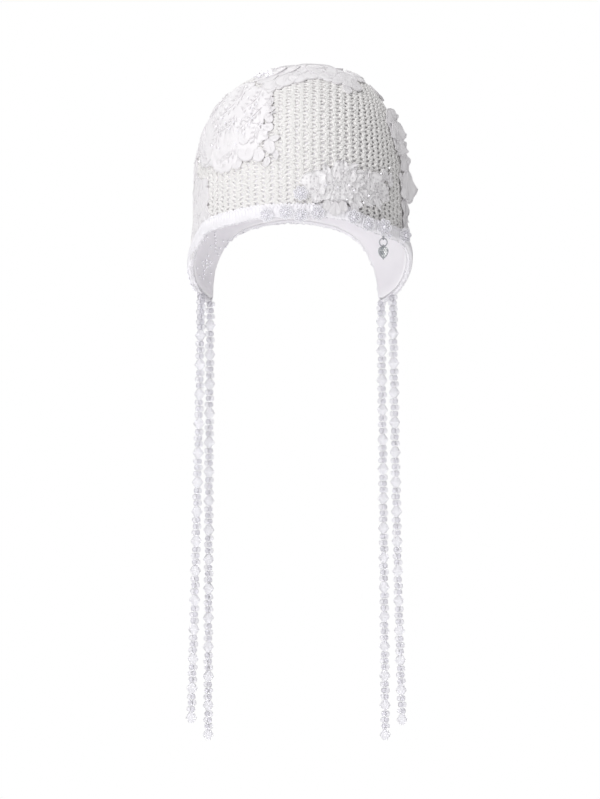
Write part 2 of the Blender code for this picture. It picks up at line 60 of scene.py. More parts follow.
# The form of the bonnet, as the solids have it
HALF_WIDTH = 0.0905
HALF_DEPTH = 0.1000
CROWN_RISE = 0.1250
DOME_FULLNESS = 2.60
POLE_BACK = 0.008
POLE_SIDE = 0.005
FULL_RIGHT = 0.011
NAPE_TUCK = 0.05
NAPE_TUCK_TOP = 0.050
CROCHET_WALL = 0.0026
LAYER_GAP = 0.0007
LINING_WALL = 0.0010
LINING_DEPTH = CROCHET_WALL + LAYER_GAP + LINING_WALL
LINING_SHORT = 0.0001
LINING_BACK = 0.0024
LINING_SLACK = 0.0006
LINING_LOOSE = 0.0006
LINING_ROLL = 0.0028
SLACK_MIDDLE = 0.035
SLACK_SPREAD = 0.03
LOOSE_UNDER = 0.032
TRIM_LIFT = 0.0009
SEAT_GAP = 0.0004
FLAP_DROP = 0.0700
TIP_ANGLE = 121.0
HEM_LINE = np.array([
    # angle, drop on the -X side, drop on the +X side, as shares of FLAP_DROP
    (0.0, 0.00, 0.00), (20.0, 0.01, 0.035), (30.0, 0.03, 0.12), (40.0, 0.07, 0.19),
    (52.0, 0.12, 0.25), (64.0, 0.18, 0.30), (72.0, 0.31, 0.37), (90.0, 0.58, 0.58),
    (106.0, 0.86, 0.86), (114.0, 0.955, 0.955), (TIP_ANGLE, 1.00, 1.00), (126.0, 0.86, 0.86),
    (132.0, 0.58, 0.58), (142.0, 0.27, 0.27), (158.0, 0.09, 0.09), (180.0, 0.02, 0.02),
])
FLAP_SECTIONS = np.array([
    # drop as a share of FLAP_DROP, width as a share of the width at the forehead hem
    (0.00, 1.000), (0.20, 1.012), (0.43, 1.024), (0.60, 1.026), (0.79, 1.006), (1.00, 0.960),
])
BAND_WIDTH = 0.0090
BAND_THICK = 0.0014
BAND_FACE = TRIM_LIFT + BAND_THICK
ROSETTES = [
    # angle, rise over the hem line
    (-21.5, 0.0005), (-11.5, 0.0022), (-4.0, -0.0004), (4.6, 0.0014), (24.0, 0.0026),
    (32.5, 0.0020), (43.0, 0.0046), (62.0, 0.0040), (-4.0, 0.0180),
]
ROSETTE_TURN = {4: -6.0, 5: -10.0, 6: -20.0, 7: -26.0}
ROSETTE_SIZE = {6: 1.15, 7: 1.05}
CHARM_ROSETTE = 6
BEAD_PITCH = 0.0250
STRAND_INSIDE = 0.0013
STRANDS = (
    # start, pitch, mid and end are in BEAD_PITCH
    dict(side="left_front", angle=-110.0, beads=14, start=1.424, pitch=0.996, mid=-0.14, end=-0.34),
    dict(side="left_rear", angle=-121.5, beads=15, start=0.848, pitch=0.992, mid=-0.05, end=-0.07),
    dict(side="right_rear", angle=122.0, beads=15, start=0.720, pitch=1.004, mid=0.08, end=0.14),
    dict(side="right_front", angle=110.5, beads=14, start=1.336, pitch=1.008, mid=0.12, end=0.32),
)

# Lace patches: tilt is from the pole, half sizes as shares of HALF_WIDTH, turn in degrees
LACE_GROUNDS = {
    "lace_top": dict(angle=25.0, tilt=7.5, wide=0.48, tall=0.46, lobes=6, notch=0.16, turn=-25.0),
    "lace_left": dict(angle=-56.0, tilt=58.0, wide=0.58, tall=0.50, lobes=6, notch=0.18, turn=-14.0),
}
# Petals seen from the front, in millimetres: place across and up, length, width, the way the tip
# points (0 is up, 90 to +X), how high the tip stands, how pointed it is from 0 to 1 and, where there
# is an eighth number, how steeply it rolls to one side
LACE_FRONT = (
    (8.9, 26.2, 18.4, 14.2, -30, 0.74, 0.1), (14.6, 28, 19, 13, 8, 1.16, 0),
    (22.4, 33.8, 19.9, 9.8, -10, 0.84, 0.8), (28.8, 36.3, 19, 9.6, 16, 1.16, 0.9),
    (25.2, 27.5, 15, 9, -24, 0.79, 0.6), (35.4, 38, 16.3, 11.3, 8, 0.84, 0.4),
    (42.4, 38, 15.7, 9.6, 58, 0.74, 0.6), (33.2, 29, 14, 10, -15, 0.95, 0.3),
    (40.2, 30.4, 15.5, 12.1, 38, 1.16, 0.2), (48, 27.9, 16.3, 11.3, 60, 1.48, 0.3),
    (36.3, 19.5, 13.8, 12.1, 200, 1.1, 0), (61.4, 27.9, 16.3, 15.7, 20, 1.37, 0),
    (55, 33, 13, 9, 30, 0.84, 0.5), (66.5, 24, 12.5, 9.5, 110, 0.95, 0.3),
    (75.1, 29.6, 12.1, 9.6, 8, 0.84, 0.8), (71, 33.8, 11, 8, -30, 0.79, 0.6),
    (70.1, 16.1, 11.3, 10.8, 70, 1.05, 0.3), (54.9, 11.8, 14.7, 7.9, 128, 0.95, 1),
    (64.8, 10.8, 14.7, 8.5, 158, 0.95, 1), (45.6, 11.6, 13.8, 12.1, 182, 0.9, 0),
    (51.4, 18.6, 12.1, 8.8, 100, 1.05, 0.4), (28.7, 19.5, 14.7, 8.8, 196, 0.8, 0.8),
    (21, 17.6, 11.3, 9.6, 232, 0.95, 0.1), (25.2, 12.6, 12.1, 8.8, 112, 0.7, 0.5),
    (14.2, 16, 12.1, 9.6, 205, 0.7, 0.1), (34.6, 12.2, 12.1, 9.6, 150, 0.7, 0.4),
    (59.9, 18.8, 13, 7.9, 92, 0.95, 0.8), (42.8, 21, 11, 8, 140, 0.95, 0.2),
    (16.4, 21.6, 10, 8, 150, 1, 0.2), (57.5, 24.4, 11, 7.5, 200, 0.89, 0.6),
    (4.8, 17, 10.5, 8, 250, 0.69, 0.2), (49, 35, 12, 7.5, 95, 0.69, 0.8), (12, 22, 9, 7, 40, 0.94, 0.3),
    (31, 24, 9, 7, -60, 1.02, 0.3), (46, 25, 9, 7, 190, 1.02, 0.4), (63, 22, 9, 7, -40, 1.02, 0.3),
    (18, 30, 9, 6, 60, 0.85, 0.5), (38.5, 33.5, 9, 7, -30, 0.94, 0.2), (53, 28, 9, 6, -10, 0.94, 0.5),
    (68, 30, 9, 6, 30, 0.85, 0.5), (24, 22, 8, 7, 0, 1.02, 0.2), (40, 15.5, 8, 7, 60, 0.94, 0.3),
    (57, 15, 8, 6, 30, 0.94, 0.4), (9, 19, 8, 6, -80, 0.77, 0.4), (20, 26, 18, 16, 0, 0.1, 0.1),
    (36, 28, 20, 16, 60, 0.1, 0.1), (50, 27, 20, 16, 100, 0.1, 0.1), (63, 25, 18, 15, 20, 0.1, 0.1),
    (44, 17, 18, 14, 170, 0.1, 0.1), (60, 16, 16, 13, 150, 0.1, 0.2), (28, 20, 16, 13, 190, 0.1, 0.1),
    (69, 20, 14, 12, 60, 0.1, 0.2), (52, 20, 16, 13, 80, 0.1, 0.1),
)
# Petals that hang over the hem
LACE_HEM = (
    (28.2, 5, 12, 10, 186, 0.9, 0.1), (35, 7, 10, 8, 170, 0.9, 0.3), (21.5, 8, 9, 7, 196, 0.6, 0.2),
    (44.5, 6, 10, 7.5, 160, 0.6, 0.3),
)
LACE_LEFT = (
    (-59.1, 65, 20.4, 14, -4, 0.61, 0.5), (-44.7, 53.4, 17, 16.2, 186, 0.61, 0),
    (-46.4, 65.2, 13, 12.1, 165, 0.36, 0.1), (-25.3, 57.4, 14.5, 10.3, 150, 0.54, 0.4),
    (-31.1, 66.9, 12.1, 9.6, 120, 0.43, 0.3), (-50.6, 104.6, 29.6, 20, 46, 0.14, 0.1),
    (-66.1, 90.2, 27.9, 20.2, 22, 0.14, 0.1), (-75.4, 68.4, 23.1, 21.7, -8, 0.14, 0.1),
    (-77.6, 51.7, 17.9, 19.8, 176, 0.25, 0.2), (-65, 46.6, 13.5, 13, 172, 0.29, 0.1),
    (-34.6, 50.6, 12.8, 11.1, 165, 0.32, 0.1), (-37.1, 82.8, 14.5, 10.3, 160, 0.32, 0.3),
    (-28.4, 94.7, 13.7, 8.6, 120, 0.47, 0.5), (-22.8, 105.6, 12, 6.9, 18, 0.61, 1),
    (-26, 81.2, 11.1, 7.8, 140, 0.47, 0.4), (-84.4, 56.3, 14.5, 15.4, -4, 0.25, 0.2),
    (-52.5, 44.6, 12, 11, 188, 0.29, 0.1), (-26.5, 73.5, 10, 8, 100, 0.47, 0.2),
    (-21.5, 64, 10, 6.5, 75, 0.43, 0.5), (-24.8, 88, 10, 6, 60, 0.5, 0.6),
    (-20, 50, 9, 6, 170, 0.36, 0.8), (-27.5, 44.5, 9, 7, 195, 0.32, 0.5),
)
LACE_FLAP = (
    (-79.5, 15, 20, 14, 10, 0.3, 0.1), (-80, 4, 18, 14, 170, 0.3, 0.1), (-84, 10, 20, 15, 185, 0.3, 0.1),
    (-87, 2, 22, 15, 0, 0.3, 0.1), (-88.5, -10, 22, 15, 180, 0.3, 0.1), (-84.5, 22, 20, 14, 30, 0.3, 0.1),
    (-80, 25, 15, 11, 20, 0.3, 0.2), (-86.5, 8.3, 19, 15, 8, 0.4, 0.2),
    (-84.4, -6.5, 19, 15, 165, 0.4, 0.2), (-87.8, -18.4, 19, 14, 186, 0.5, 0.1),
    (-90.3, -28.5, 16, 12, 190, 0.6, 0.3), (-88, 38, 21, 15, 0, 0.3, 0.1),
    (-86.5, 24, 21, 16, 175, 0.3, 0.1), (-88.5, 14, 19, 15, 5, 0.3, 0.2),
    (-77.5, -1, 12, 9, 120, 0.4, 0.3),
)
# Embroidered sprigs of small leaves on the left patch: a curve through three places, in millimetres
# across and up, then how many pairs of leaves it carries and their length
SPRIGS = (
    ((-46, 112), (-52, 97), (-66, 84), 7, 5.2), ((-30, 110), (-36, 98), (-48, 88), 6, 4.8),
    ((-72, 84), (-68, 72), (-72, 58), 6, 5.2), ((-32, 90), (-42, 80), (-50, 72), 6, 4.6),
    ((-54, 84), (-58, 76), (-68, 70), 5, 4.6), ((-33, 78), (-37, 70), (-38, 60), 5, 4.4),
    ((-80, 70), (-82, 58), (-80, 47), 5, 5), ((-56, 56), (-58, 50), (-66, 44), 4, 4.6),
    ((-24, 100), (-26, 92), (-22, 84), 4, 4.2), ((-60, 104), (-66, 96), (-76, 84), 5, 5),
)
LACE_TOP = (
    (-25, 119.5, 30, 22, 14, 2.8, 0.1), (-14, 121.5, 32, 24, 4, 3.2, 0.1),
    (-3, 121.8, 30, 22, 0, 2.9, 0.1), (8, 122.2, 32, 24, 2, 3.9, 0.1), (19, 121.6, 32, 24, -2, 3.9, 0.1),
    (31, 119.6, 28, 20, -6, 1.8, 0.1), (41, 115.5, 22, 17, -12, 1, 0.2),
    (-22, 112.5, 24, 18, 172, 0.4, 0.1), (-11, 115, 26, 18, 176, 0.4, 0.1),
    (-1, 117, 24, 18, 180, 0.4, 0.2), (9, 119, 22, 18, 178, 0.4, 0.2), (20, 118.8, 22, 18, 184, 0.4, 0.2),
    (-23.5, 106.8, 13, 10, 186, 0.4, 0.5), (-17, 109.5, 13, 10, 160, 0.4, 0.4),
    (30, 114.6, 17, 13, 190, 0.5, 0.3), (38, 112.5, 17, 13, 172, 0.5, 0.3),
    (45, 110, 17, 14, 158, 0.6, 0.2), (39.5, 106.2, 12, 9, 188, 0.5, 0.3),
    (-27, 115, 18, 14, 40, 0.5, 0.2),
)
# The same for the petals that the front view hides, with angle and height in place of the first two
LACE_CROWN = (
    (80, 120, 22, 15, 60, 1.6, 0.2), (95, 119, 20, 13, 150, 1.6, 0.4), (130, 118, 21, 15, 200, 1.8, 0.1),
    (84, 106, 17, 11, 175, 1.2, 0.5), (95, 104, 18, 12, 190, 1.8, 0.2), (118, 108, 16, 9, 160, 1.5, 1),
    (175, 122, 20, 14, 240, 1.6, 0.2), (180, 121.6, 32, 24, 0, 3.4, 0.1),
    (203, 121.2, 30, 22, 10, 2.9, 0.1), (225, 120.4, 28, 20, 24, 2.3, 0.2),
    (158, 121.4, 32, 24, -8, 3.5, 0.1), (138, 120.4, 30, 22, -24, 2.8, 0.2),
    (10, 124.5, 32, 26, 170, 2.4, 0.1), (80, 124.6, 26, 22, 190, 1.7, 0.1),
    (150, 124.5, 32, 26, 175, 2.6, 0.1), (225, 124.5, 32, 26, 185, 2.6, 0.1),
    (300, 124.5, 32, 26, 180, 2.4, 0.1), (40, 124.95, 24, 20, 20, 2.8, 0.1),
    (190, 124.95, 24, 20, 60, 2.8, 0.1),
)
LACE_SIDE = (
    (67.5, 82.5, 15, 15.5, 158, 0.2, 0.2, 0.4), (68, 69.5, 20, 16.5, 156, 0.2, 0.2, 0.43),
    (69.5, 57.5, 13, 15.5, 170, 0.2, 0.1, 0.38), (71.5, 45, 19, 12.5, 172, 0.2, 0.3, 0.44),
    (70.5, 24.5, 28, 17.5, 180, 0.3, 0.1, 0.44), (69.5, 81, 10, 9, 150, 1.6, 0.3, 0.4),
    (70, 67, 13, 9, 165, 1.8, 0.3, 0.43), (72, 43, 12, 8, 160, 1.6, 0.4, 0.44),
    (72, 21, 17, 10, 186, 1.8, 0.2, 0.44), (66, 30, 13, 8, 168, 0.8, 0.4, 0.1),
    (65.5, 60, 12, 8, 160, 0.8, 0.4, 0.1), (65, 74, 12, 9, 150, 0.8, 0.3, 0.1),
    (72, 10, 26, 20, 180, 0.3, 0.1, 0.02), (72, -4, 22, 18, 184, 0.3, 0.1, 0.02),
    (74, 2, 14, 9, 176, 0.9, 0.3, 0.02), (69.5, -9, 11, 8, 190, 0.9, 0.3, 0.02),
)
LACE_REAR_LEFT = (
    (-86, 66, 20, 14, 10, 1.2, 0.2), (-84, 86, 20, 15, 20, 1.2, 0.1), (-98, 74, 18, 13, 250, 1.2, 0.3),
    (-90, 52, 15, 12, 190, 0.8, 0.2),
)
# Seed beads seen from the front, millimetres across and up
LACE_SEEDS = (
    (-42.2, 98), (-35.4, 92), (-59.9, 90.4), (-64.1, 81.1), (-60.8, 76.9), (-54, 77.7), (-48.1, 79.4),
    (-39.7, 85.3), (-38.8, 80.2), (-41.4, 75.2), (-57.4, 71.8), (-50.6, 70.1), (-38.8, 88.7),
    (-44.7, 83.6), (-68.4, 74.3), (-32.1, 75.2), (-27, 68.4), (-71.7, 58.3), (-65.8, 55.8), (-45.6, 67.6),
    (-52.3, 59.1), (-81.9, 45.6), (30.4, 22.8), (43.9, 20.3), (55.7, 16.1), (39.7, 24.5), (51.5, 10.2),
    (21.1, 24.5), (38, 12.7), (65.8, 34.7), (72.6, 39.7),
)
LACE_CLUSTER = (
    (-34.6, 119.6), (-31.2, 118.4), (-27.9, 119.6), (-30.4, 121), (-33.8, 116), (-27, 116.2),
    (-23.6, 118), (-37.1, 116.6), (-24.4, 120.4),
)
# Beads on the lining inside the left flap, seen from the front
FLAP_SEEDS = (
    (-80.2, -38.8), (-80.2, -35.8), (-77.2, -37.1), (-77.2, -40.5), (-80.2, -42.1), (-83.1, -40.5),
    (-83.1, -37.1), (-72.6, -12.6), (-72.6, -15.1), (-72.2, -18.1), (-72.2, -21), (-72.2, -24.4),
    (-72.2, -27.8), (-81.9, -44.7), (-81.9, -48.1), (-85.7, -49.7), (-82.7, -51.4), (-78.5, -32),
    (-75.5, -37.9), (-87.8, -43), (-65.8, -19.4), (-61.6, -19.4), (-68.4, -25.3), (-79.3, -16),
    (-81, -19.4), (-70.1, -31), (-76, -47), (-77.5, -55), (-63.5, -24.5), (-76.5, -24),
)
KNOT_CORD = 0.0008
RING_RADIUS = 0.0033
RING_WIRE = 0.0005
EYELET_RADIUS = 0.0022
EYELET_WIRE = 0.00045
BAIL_RADIUS = 0.00135
BAIL_WIRE = 0.0004
LINK_GAP = 0.0003
HEART_WIDTH = 0.0086
HEART_HEIGHT = 0.0098
HEART_THICK = 0.0036
HEART_MIDDLE = 0.05
CHARM_YAW = 8.0
ROSETTE_RADIUS = 0.0053
ROSETTE_RIM = 0.0012

# The photograph's view
VIEW_AZIMUTH = -4.0
VIEW_DISTANCE = 8.0
VIEW_HEIGHT = -0.154
METRES_PER_PIXEL = 0.000844
IMAGE_SIZE = (600, 799)


# Form

def curve_through(at, xs, ys):
    """Cubic through the points (xs, ys), without bumps between them.

    Its slope at a point is the harmonic mean of those on both sides, and 0 where they turn.
    """
    step = np.diff(xs)
    slope = np.diff(ys) / step
    product, total = slope[:-1] * slope[1:], slope[:-1] + slope[1:]
    same_way = product > 0
    inner = np.where(same_way, 2 * product / np.where(same_way, total, 1.0), 0.0)
    tangent = np.concatenate([[0.0], inner, [0.0]])
    at = np.clip(at, xs[0], xs[-1])
    i = np.clip(np.searchsorted(xs, at) - 1, 0, len(xs) - 2)
    t = (at - xs[i]) / step[i]
    return (ys[i] * (1 + 2 * t) * (1 - t) ** 2 + ys[i + 1] * t * t * (3 - 2 * t)
            + step[i] * (tangent[i] * t * (1 - t) ** 2 + tangent[i + 1] * t * t * (t - 1)))


def hem_height(angle):
    """Height of the hem line at an angle: minus the drop read from HEM_LINE."""
    turned = (np.asarray(angle, float) + 180.0) % 360.0 - 180.0
    left, right = [curve_through(np.abs(turned), HEM_LINE[:, 0], HEM_LINE[:, side]) for side in (1, 2)]
    return -FLAP_DROP * np.where(turned < 0.0, left, right)


def section_share(height):
    """Size of a level section: (1 - (height / rise) ** n) ** (1 / n), and from FLAP_SECTIONS below 0."""
    up = np.clip(height / CROWN_RISE, 0.0, 1.0)
    down = np.clip(-height / FLAP_DROP, 0.0, 1.0)
    crown = (1.0 - up ** DOME_FULLNESS) ** (1.0 / DOME_FULLNESS)
    return crown * curve_through(down, FLAP_SECTIONS[:, 0], FLAP_SECTIONS[:, 1])


def settle(x, y, z):
    """Leans the dome back by the square of the height and towards +X by its power 4, draws the nape in
    by a smooth step downwards, and fills the dome's right shoulder by the height's power 16."""
    up = np.clip(z / CROWN_RISE, 0.0, None)
    low = np.clip((NAPE_TUCK_TOP - z) / (NAPE_TUCK_TOP + FLAP_DROP), 0.0, 1.0)
    rear = np.clip(y / HALF_DEPTH, 0.0, None) ** 2
    y = y * (1.0 - NAPE_TUCK * rear * low * (3.0 - 2.0 * low)) + POLE_BACK * up ** 2
    fuller = FULL_RIGHT * up ** 16 * np.clip(x / (0.5 * HALF_WIDTH), 0.0, 1.0)
    return np.stack([x + POLE_SIDE * up ** 4 + fuller, y, z], axis=-1)


def unit(vectors):
    """Vectors of length 1."""
    return vectors / np.maximum(np.linalg.norm(vectors, axis=-1, keepdims=True), 1e-12)


def outward(x, y, z):
    """Direction out of the dome: the gradient of plan ** n + (z / rise) ** n, level below the hem."""
    plan = np.hypot(x / HALF_WIDTH, y / HALF_DEPTH)
    power = np.maximum(plan, 1e-9) ** (DOME_FULLNESS - 2.0)
    up = np.clip(z / CROWN_RISE, 0.0, 1.0) ** (DOME_FULLNESS - 1.0) / CROWN_RISE
    return unit(np.stack([power * x / HALF_WIDTH ** 2, power * y / HALF_DEPTH ** 2, up], axis=-1))


def wall(angle, height):
    """Point of the crochet's outer face at an angle and height, and the direction out of it."""
    angle, height = np.broadcast_arrays(np.asarray(angle, float), np.asarray(height, float))
    share, turn = section_share(height), np.radians(angle)
    x, y = HALF_WIDTH * share * np.sin(turn), -HALF_DEPTH * share * np.cos(turn)
    return settle(x, y, height), outward(x, y, height)


def dome(direction):
    """Point where a ray from the origin meets the dome, or a level ray below the hem's height meets
    the wall, and the direction out of it there."""
    x, y, z = np.moveaxis(np.asarray(direction, float), -1, 0)
    plan = np.hypot(x / HALF_WIDTH, y / HALF_DEPTH)
    reach = (plan ** DOME_FULLNESS + np.abs(z / CROWN_RISE) ** DOME_FULLNESS) ** (-1.0 / DOME_FULLNESS)
    level = section_share(np.minimum(z, 0.0)) / np.maximum(plan, 1e-9)
    x, y, z = [np.where(z < 0.0, v * f, v * reach) for v, f in ((x, level), (y, level), (z, 1.0))]
    return settle(x, y, z), outward(x, y, z)


def seen_across(points):
    """How far across the photograph points show: their places along the camera's right."""
    turn = math.radians(VIEW_AZIMUTH)
    return points[:, 0] * math.cos(turn) + points[:, 1] * math.sin(turn)


def seen_from_front(x, z):
    """Angle on the front of the wall that the photograph shows at x across, at the height z."""
    fine = np.linspace(-88.0, 82.0, 341)
    return float(np.interp(x, seen_across(wall(fine, z)[0]), fine))


def seen_inside(x, z):
    """Angle on the rear half of the lining that the photograph shows at x across, at the height z."""
    fine = np.linspace(-180.0, -92.0, 341)
    points, out = wall(fine, z)
    return float(np.interp(x, seen_across(points - LINING_DEPTH * out)[::-1], fine[::-1]))


def spots_seen(places, angle_at=seen_from_front):
    """Points of the wall at places that the photograph shows, across and up, and directions out."""
    spots = [wall(angle_at(x, z), z) for x, z in places]
    return np.array([spot[0] for spot in spots]), np.array([spot[1] for spot in spots])


def arc_length(points):
    """Distance along each row of points, from 0 at its first."""
    steps = np.linalg.norm(np.diff(points, axis=-2), axis=-1)
    return np.concatenate([np.zeros((*steps.shape[:-1], 1)), np.cumsum(steps, axis=-1)], axis=-1)


class CrochetGrid:
    """The crochet's own grid: at each height, s is the arc from the middle of the front or back.

    t is the arc up the front's middle line from the hem's height. The side lines, at 90 degrees,
    are where the front's columns meet the back's.
    """

    STEP = 0.001
    WIDEST = 0.200
    SHORTEST = 0.004

    def __init__(self):
        tilt = np.radians(np.linspace(90.0, 0.0, 121))
        dome_heights = CROWN_RISE * np.cos(tilt) ** (2.0 / DOME_FULLNESS)
        self.heights = np.concatenate([np.linspace(-FLAP_DROP, 0.0, 29)[:-1], dome_heights])
        along = arc_length(wall(0.0, self.heights)[0])
        self.climb = along - np.interp(0.0, self.heights, along)
        self.top = self.climb[-1]
        turned = np.linspace(0.0, 90.0, 91)
        self.places = np.arange(0.0, self.WIDEST, self.STEP)
        self.angles, self.reach = [], []
        for angles in (turned, 180.0 - turned):
            arcs = arc_length(wall(angles[None, :], self.heights[:, None])[0])
            ends = np.maximum(arcs[:, -1], 1e-6)
            table = np.stack([np.interp(self.places, arc, turned) for arc in arcs])
            past = np.maximum(self.places[None, :] - ends[:, None], 0.0)
            self.angles.append(table + 90.0 * past / np.maximum(ends[:, None], self.SHORTEST))
            self.reach.append(ends)

    def height(self, t):
        """Height of a place t up the grid."""
        return np.interp(t, self.climb, self.heights)

    def quarter(self, t, back):
        """Arc from the middle to the side line."""
        return np.interp(t, self.climb, self.reach[back])

    def angle(self, s, t, back):
        """Angle round the head of a place on the grid, between the four nearest of its table."""
        row = np.interp(t, self.climb, np.arange(len(self.climb)))
        i = np.clip(row.astype(int), 0, len(self.climb) - 2)
        place = np.abs(s) / self.STEP
        j = np.clip(place.astype(int), 0, len(self.places) - 2)
        f, g, table = row - i, place - j, self.angles[back]
        turned = ((1 - f) * ((1 - g) * table[i, j] + g * table[i, j + 1])
                  + f * ((1 - g) * table[i + 1, j] + g * table[i + 1, j + 1]))
        return np.where(s < 0.0, -1.0, 1.0) * (180.0 - turned if back else turned)

    def place(self, s, t, lift, back):
        """Point on the grid, lift outside of the crochet's outer face, and the direction out."""
        s, t = np.broadcast_arrays(np.asarray(s, float), np.asarray(t, float))
        point, out = wall(self.angle(s, t, back), self.height(t))
        return point + np.asarray(lift)[..., None] * out, out


GRID = CrochetGrid()


# Meshes

def new_object(name, data):
    """An object of the scene, at the origin."""
    made = bpy.data.objects.new(name, data)
    bpy.context.scene.collection.objects.link(made)
    return made


class Pieces:
    """Collects grids of points as one mesh, with its own UV map in millimetres."""

    def __init__(self):
        self.points, self.quads, self.tris, self.quad_uv, self.tri_uv = [], [], [], [], []
        self.count = 0

    def add(self, points, quads, tris=(), quad_uv=None, tri_uv=None):
        """Adds a shape, whose faces count its own points from 0."""
        points = np.asarray(points, float).reshape(-1, 3)
        quads, tris = np.asarray(quads, int).reshape(-1, 4), np.asarray(tris, int).reshape(-1, 3)
        self.points.append(points)
        self.quads.append(quads + self.count)
        self.tris.append(tris + self.count)
        self.quad_uv.append(np.zeros((len(quads), 4, 2)) if quad_uv is None else quad_uv)
        self.tri_uv.append(np.zeros((len(tris), 3, 2)) if tri_uv is None else tri_uv)
        self.count += len(points)
        return self

    def finish(self, name, material, slot, replaces=(), smooth=True):
        """Makes the object, smooth or faceted, and says what it rides on and stands for."""
        points, quads, tris = [np.concatenate(part) for part in (self.points, self.quads, self.tris)]
        mesh = bpy.data.meshes.new(name)
        mesh.vertices.add(len(points))
        mesh.vertices.foreach_set("co", points.astype(np.float32).ravel())
        corners = np.concatenate([quads.ravel(), tris.ravel()])
        mesh.loops.add(len(corners))
        mesh.loops.foreach_set("vertex_index", corners.astype(np.int32))
        starts = np.concatenate([4 * np.arange(len(quads)), 4 * len(quads) + 3 * np.arange(len(tris))])
        mesh.polygons.add(len(starts))
        mesh.polygons.foreach_set("loop_start", starts.astype(np.int32))
        mesh.polygons.foreach_set("use_smooth", np.full(len(starts), smooth))
        uv = np.concatenate([part.reshape(-1, 2) for part in self.quad_uv + self.tri_uv])
        mesh.uv_layers.new(name="surface").data.foreach_set("uv", uv.astype(np.float32).ravel())
        mesh.update(calc_edges=True)
        mesh.validate()
        mesh.materials.append(material)
        made = new_object(name, mesh)
        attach(made, "root")
        if replaces:
            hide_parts(*replaces)


def once_round(count, shift=0.0):
    """Angles evenly spaced once round, the first of them shift steps on."""
    return 2.0 * np.pi * (np.arange(count) + shift) / count


def spokes(turn, across, up):
    """Directions at some turns from one axis towards another."""
    return np.cos(turn)[:, None] * across + np.sin(turn)[:, None] * up


def grid_quads(rows, columns):
    """Quads of a grid of points, whose last column joins the first."""
    i, j = np.meshgrid(np.arange(rows - 1), np.arange(columns), indexing="ij")
    k = (j + 1) % columns
    return np.stack([i * columns + j, (i + 1) * columns + j, (i + 1) * columns + k, i * columns + k],
                    axis=-1).reshape(-1, 4)


def end_fans(rows, columns):
    """Fans that close a grid's first and last ring. Their two middle points come after the grid's."""
    j = np.arange(columns)
    k = (j + 1) % columns
    last, middle = (rows - 1) * columns, rows * columns
    return np.concatenate([np.stack([0 * j + middle, j, k], axis=1),
                           np.stack([0 * j + middle + 1, last + k, last + j], axis=1)])


def grid_uv(reach, sides):
    """UV of a grid's quads: how far along each ring is, in millimetres, and the share once round."""
    i, j = np.meshgrid(np.arange(reach.shape[-1] - 1), np.arange(sides), indexing="ij")
    i, j = i.ravel(), j.ravel()
    u = np.stack([reach[..., i], reach[..., i + 1], reach[..., i + 1], reach[..., i]], axis=-1)
    v = np.broadcast_to(np.stack([j, j, j + 1, j + 1], axis=-1) / sides, u.shape)
    return np.stack([u, v], axis=-1).reshape(-1, 4, 2)


def skin(rings, middles, inwards=False):
    """A closed surface: rings of points, each joined to the next, and a fan to a middle at both ends."""
    rows, columns = len(rings), len(rings[0])
    points = np.concatenate([*rings, np.array(middles)])
    quads, tris = grid_quads(rows, columns), end_fans(rows, columns)
    return (points, quads[:, ::-1], tris[:, [0, 2, 1]]) if inwards else (points, quads, tris)


def repeated(faces, times, points):
    """Faces of a shape with that many points, for its copies one after another."""
    return (faces + (np.arange(times) * points)[:, None, None]).reshape(-1, faces.shape[1])


def tubes(paths, outs, radius, sides, closed=False):
    """Tubes round many paths of the same number of points, open with a fan at each end or closed.

    A ring is radius * (cos a * side + sin a * up) round each point, where side is square to the path
    and to the direction out of the cloth, and up to both. U runs along, V is once round.
    """
    count, steps = paths.shape[:2]
    ahead = np.roll(paths, -1, axis=1) - np.roll(paths, 1, axis=1) if closed else np.gradient(paths, axis=1)
    along = unit(ahead)
    side = unit(np.cross(along, outs))
    up = np.cross(side, along)
    turn = once_round(sides)
    radius = np.broadcast_to(np.asarray(radius, float), (count, steps))[:, :, None, None]
    ring = np.cos(turn)[:, None] * side[:, :, None] + np.sin(turn)[:, None] * up[:, :, None]
    points = (paths[:, :, None] + radius * ring).reshape(count, -1, 3)
    if closed:
        quads, tris = grid_quads(steps + 1, sides) % (steps * sides), np.zeros((0, 3), int)
        spacing = 1000.0 * np.linalg.norm(np.diff(paths, axis=1), axis=2).mean()
        reach = np.broadcast_to(np.arange(steps + 1) * spacing, (count, steps + 1))
    else:
        points = np.concatenate([points, paths[:, [0, -1]]], axis=1)
        quads, tris = grid_quads(steps, sides), end_fans(steps, sides)
        reach = 1000.0 * arc_length(paths)
    size = points.shape[1]
    return points, repeated(quads, count, size), repeated(tris, count, size), grid_uv(reach, sides)


def wire_ring(centre, across, down, radius, wire, count=40, sides=10):
    """A round wire bent to a ring in the plane of two directions."""
    roll = once_round(sides)
    spoke = spokes(once_round(count), across, down)
    points = centre + (radius + wire * np.cos(roll))[None, :, None] * spoke[:, None]
    points = points + (wire * np.sin(roll))[None, :, None] * np.cross(across, down)
    return points, grid_quads(count + 1, sides) % (count * sides)


def copies(shape, centres, sizes, axes=None):
    """Copies of a small shape (points, quads, tris) at many centres, sized and turned by their axes."""
    points, quads, tris = shape
    centres = np.asarray(centres, float).reshape(-1, 3)
    count, size = len(centres), len(points)
    sizes = np.broadcast_to(np.asarray(sizes, float), (count,))
    axes = np.broadcast_to(np.eye(3) if axes is None else axes, (count, 3, 3))
    placed = centres[:, None] + sizes[:, None, None] * np.einsum("pa,nab->npb", points, axes)
    return placed, repeated(quads, count, size), repeated(tris, count, size)


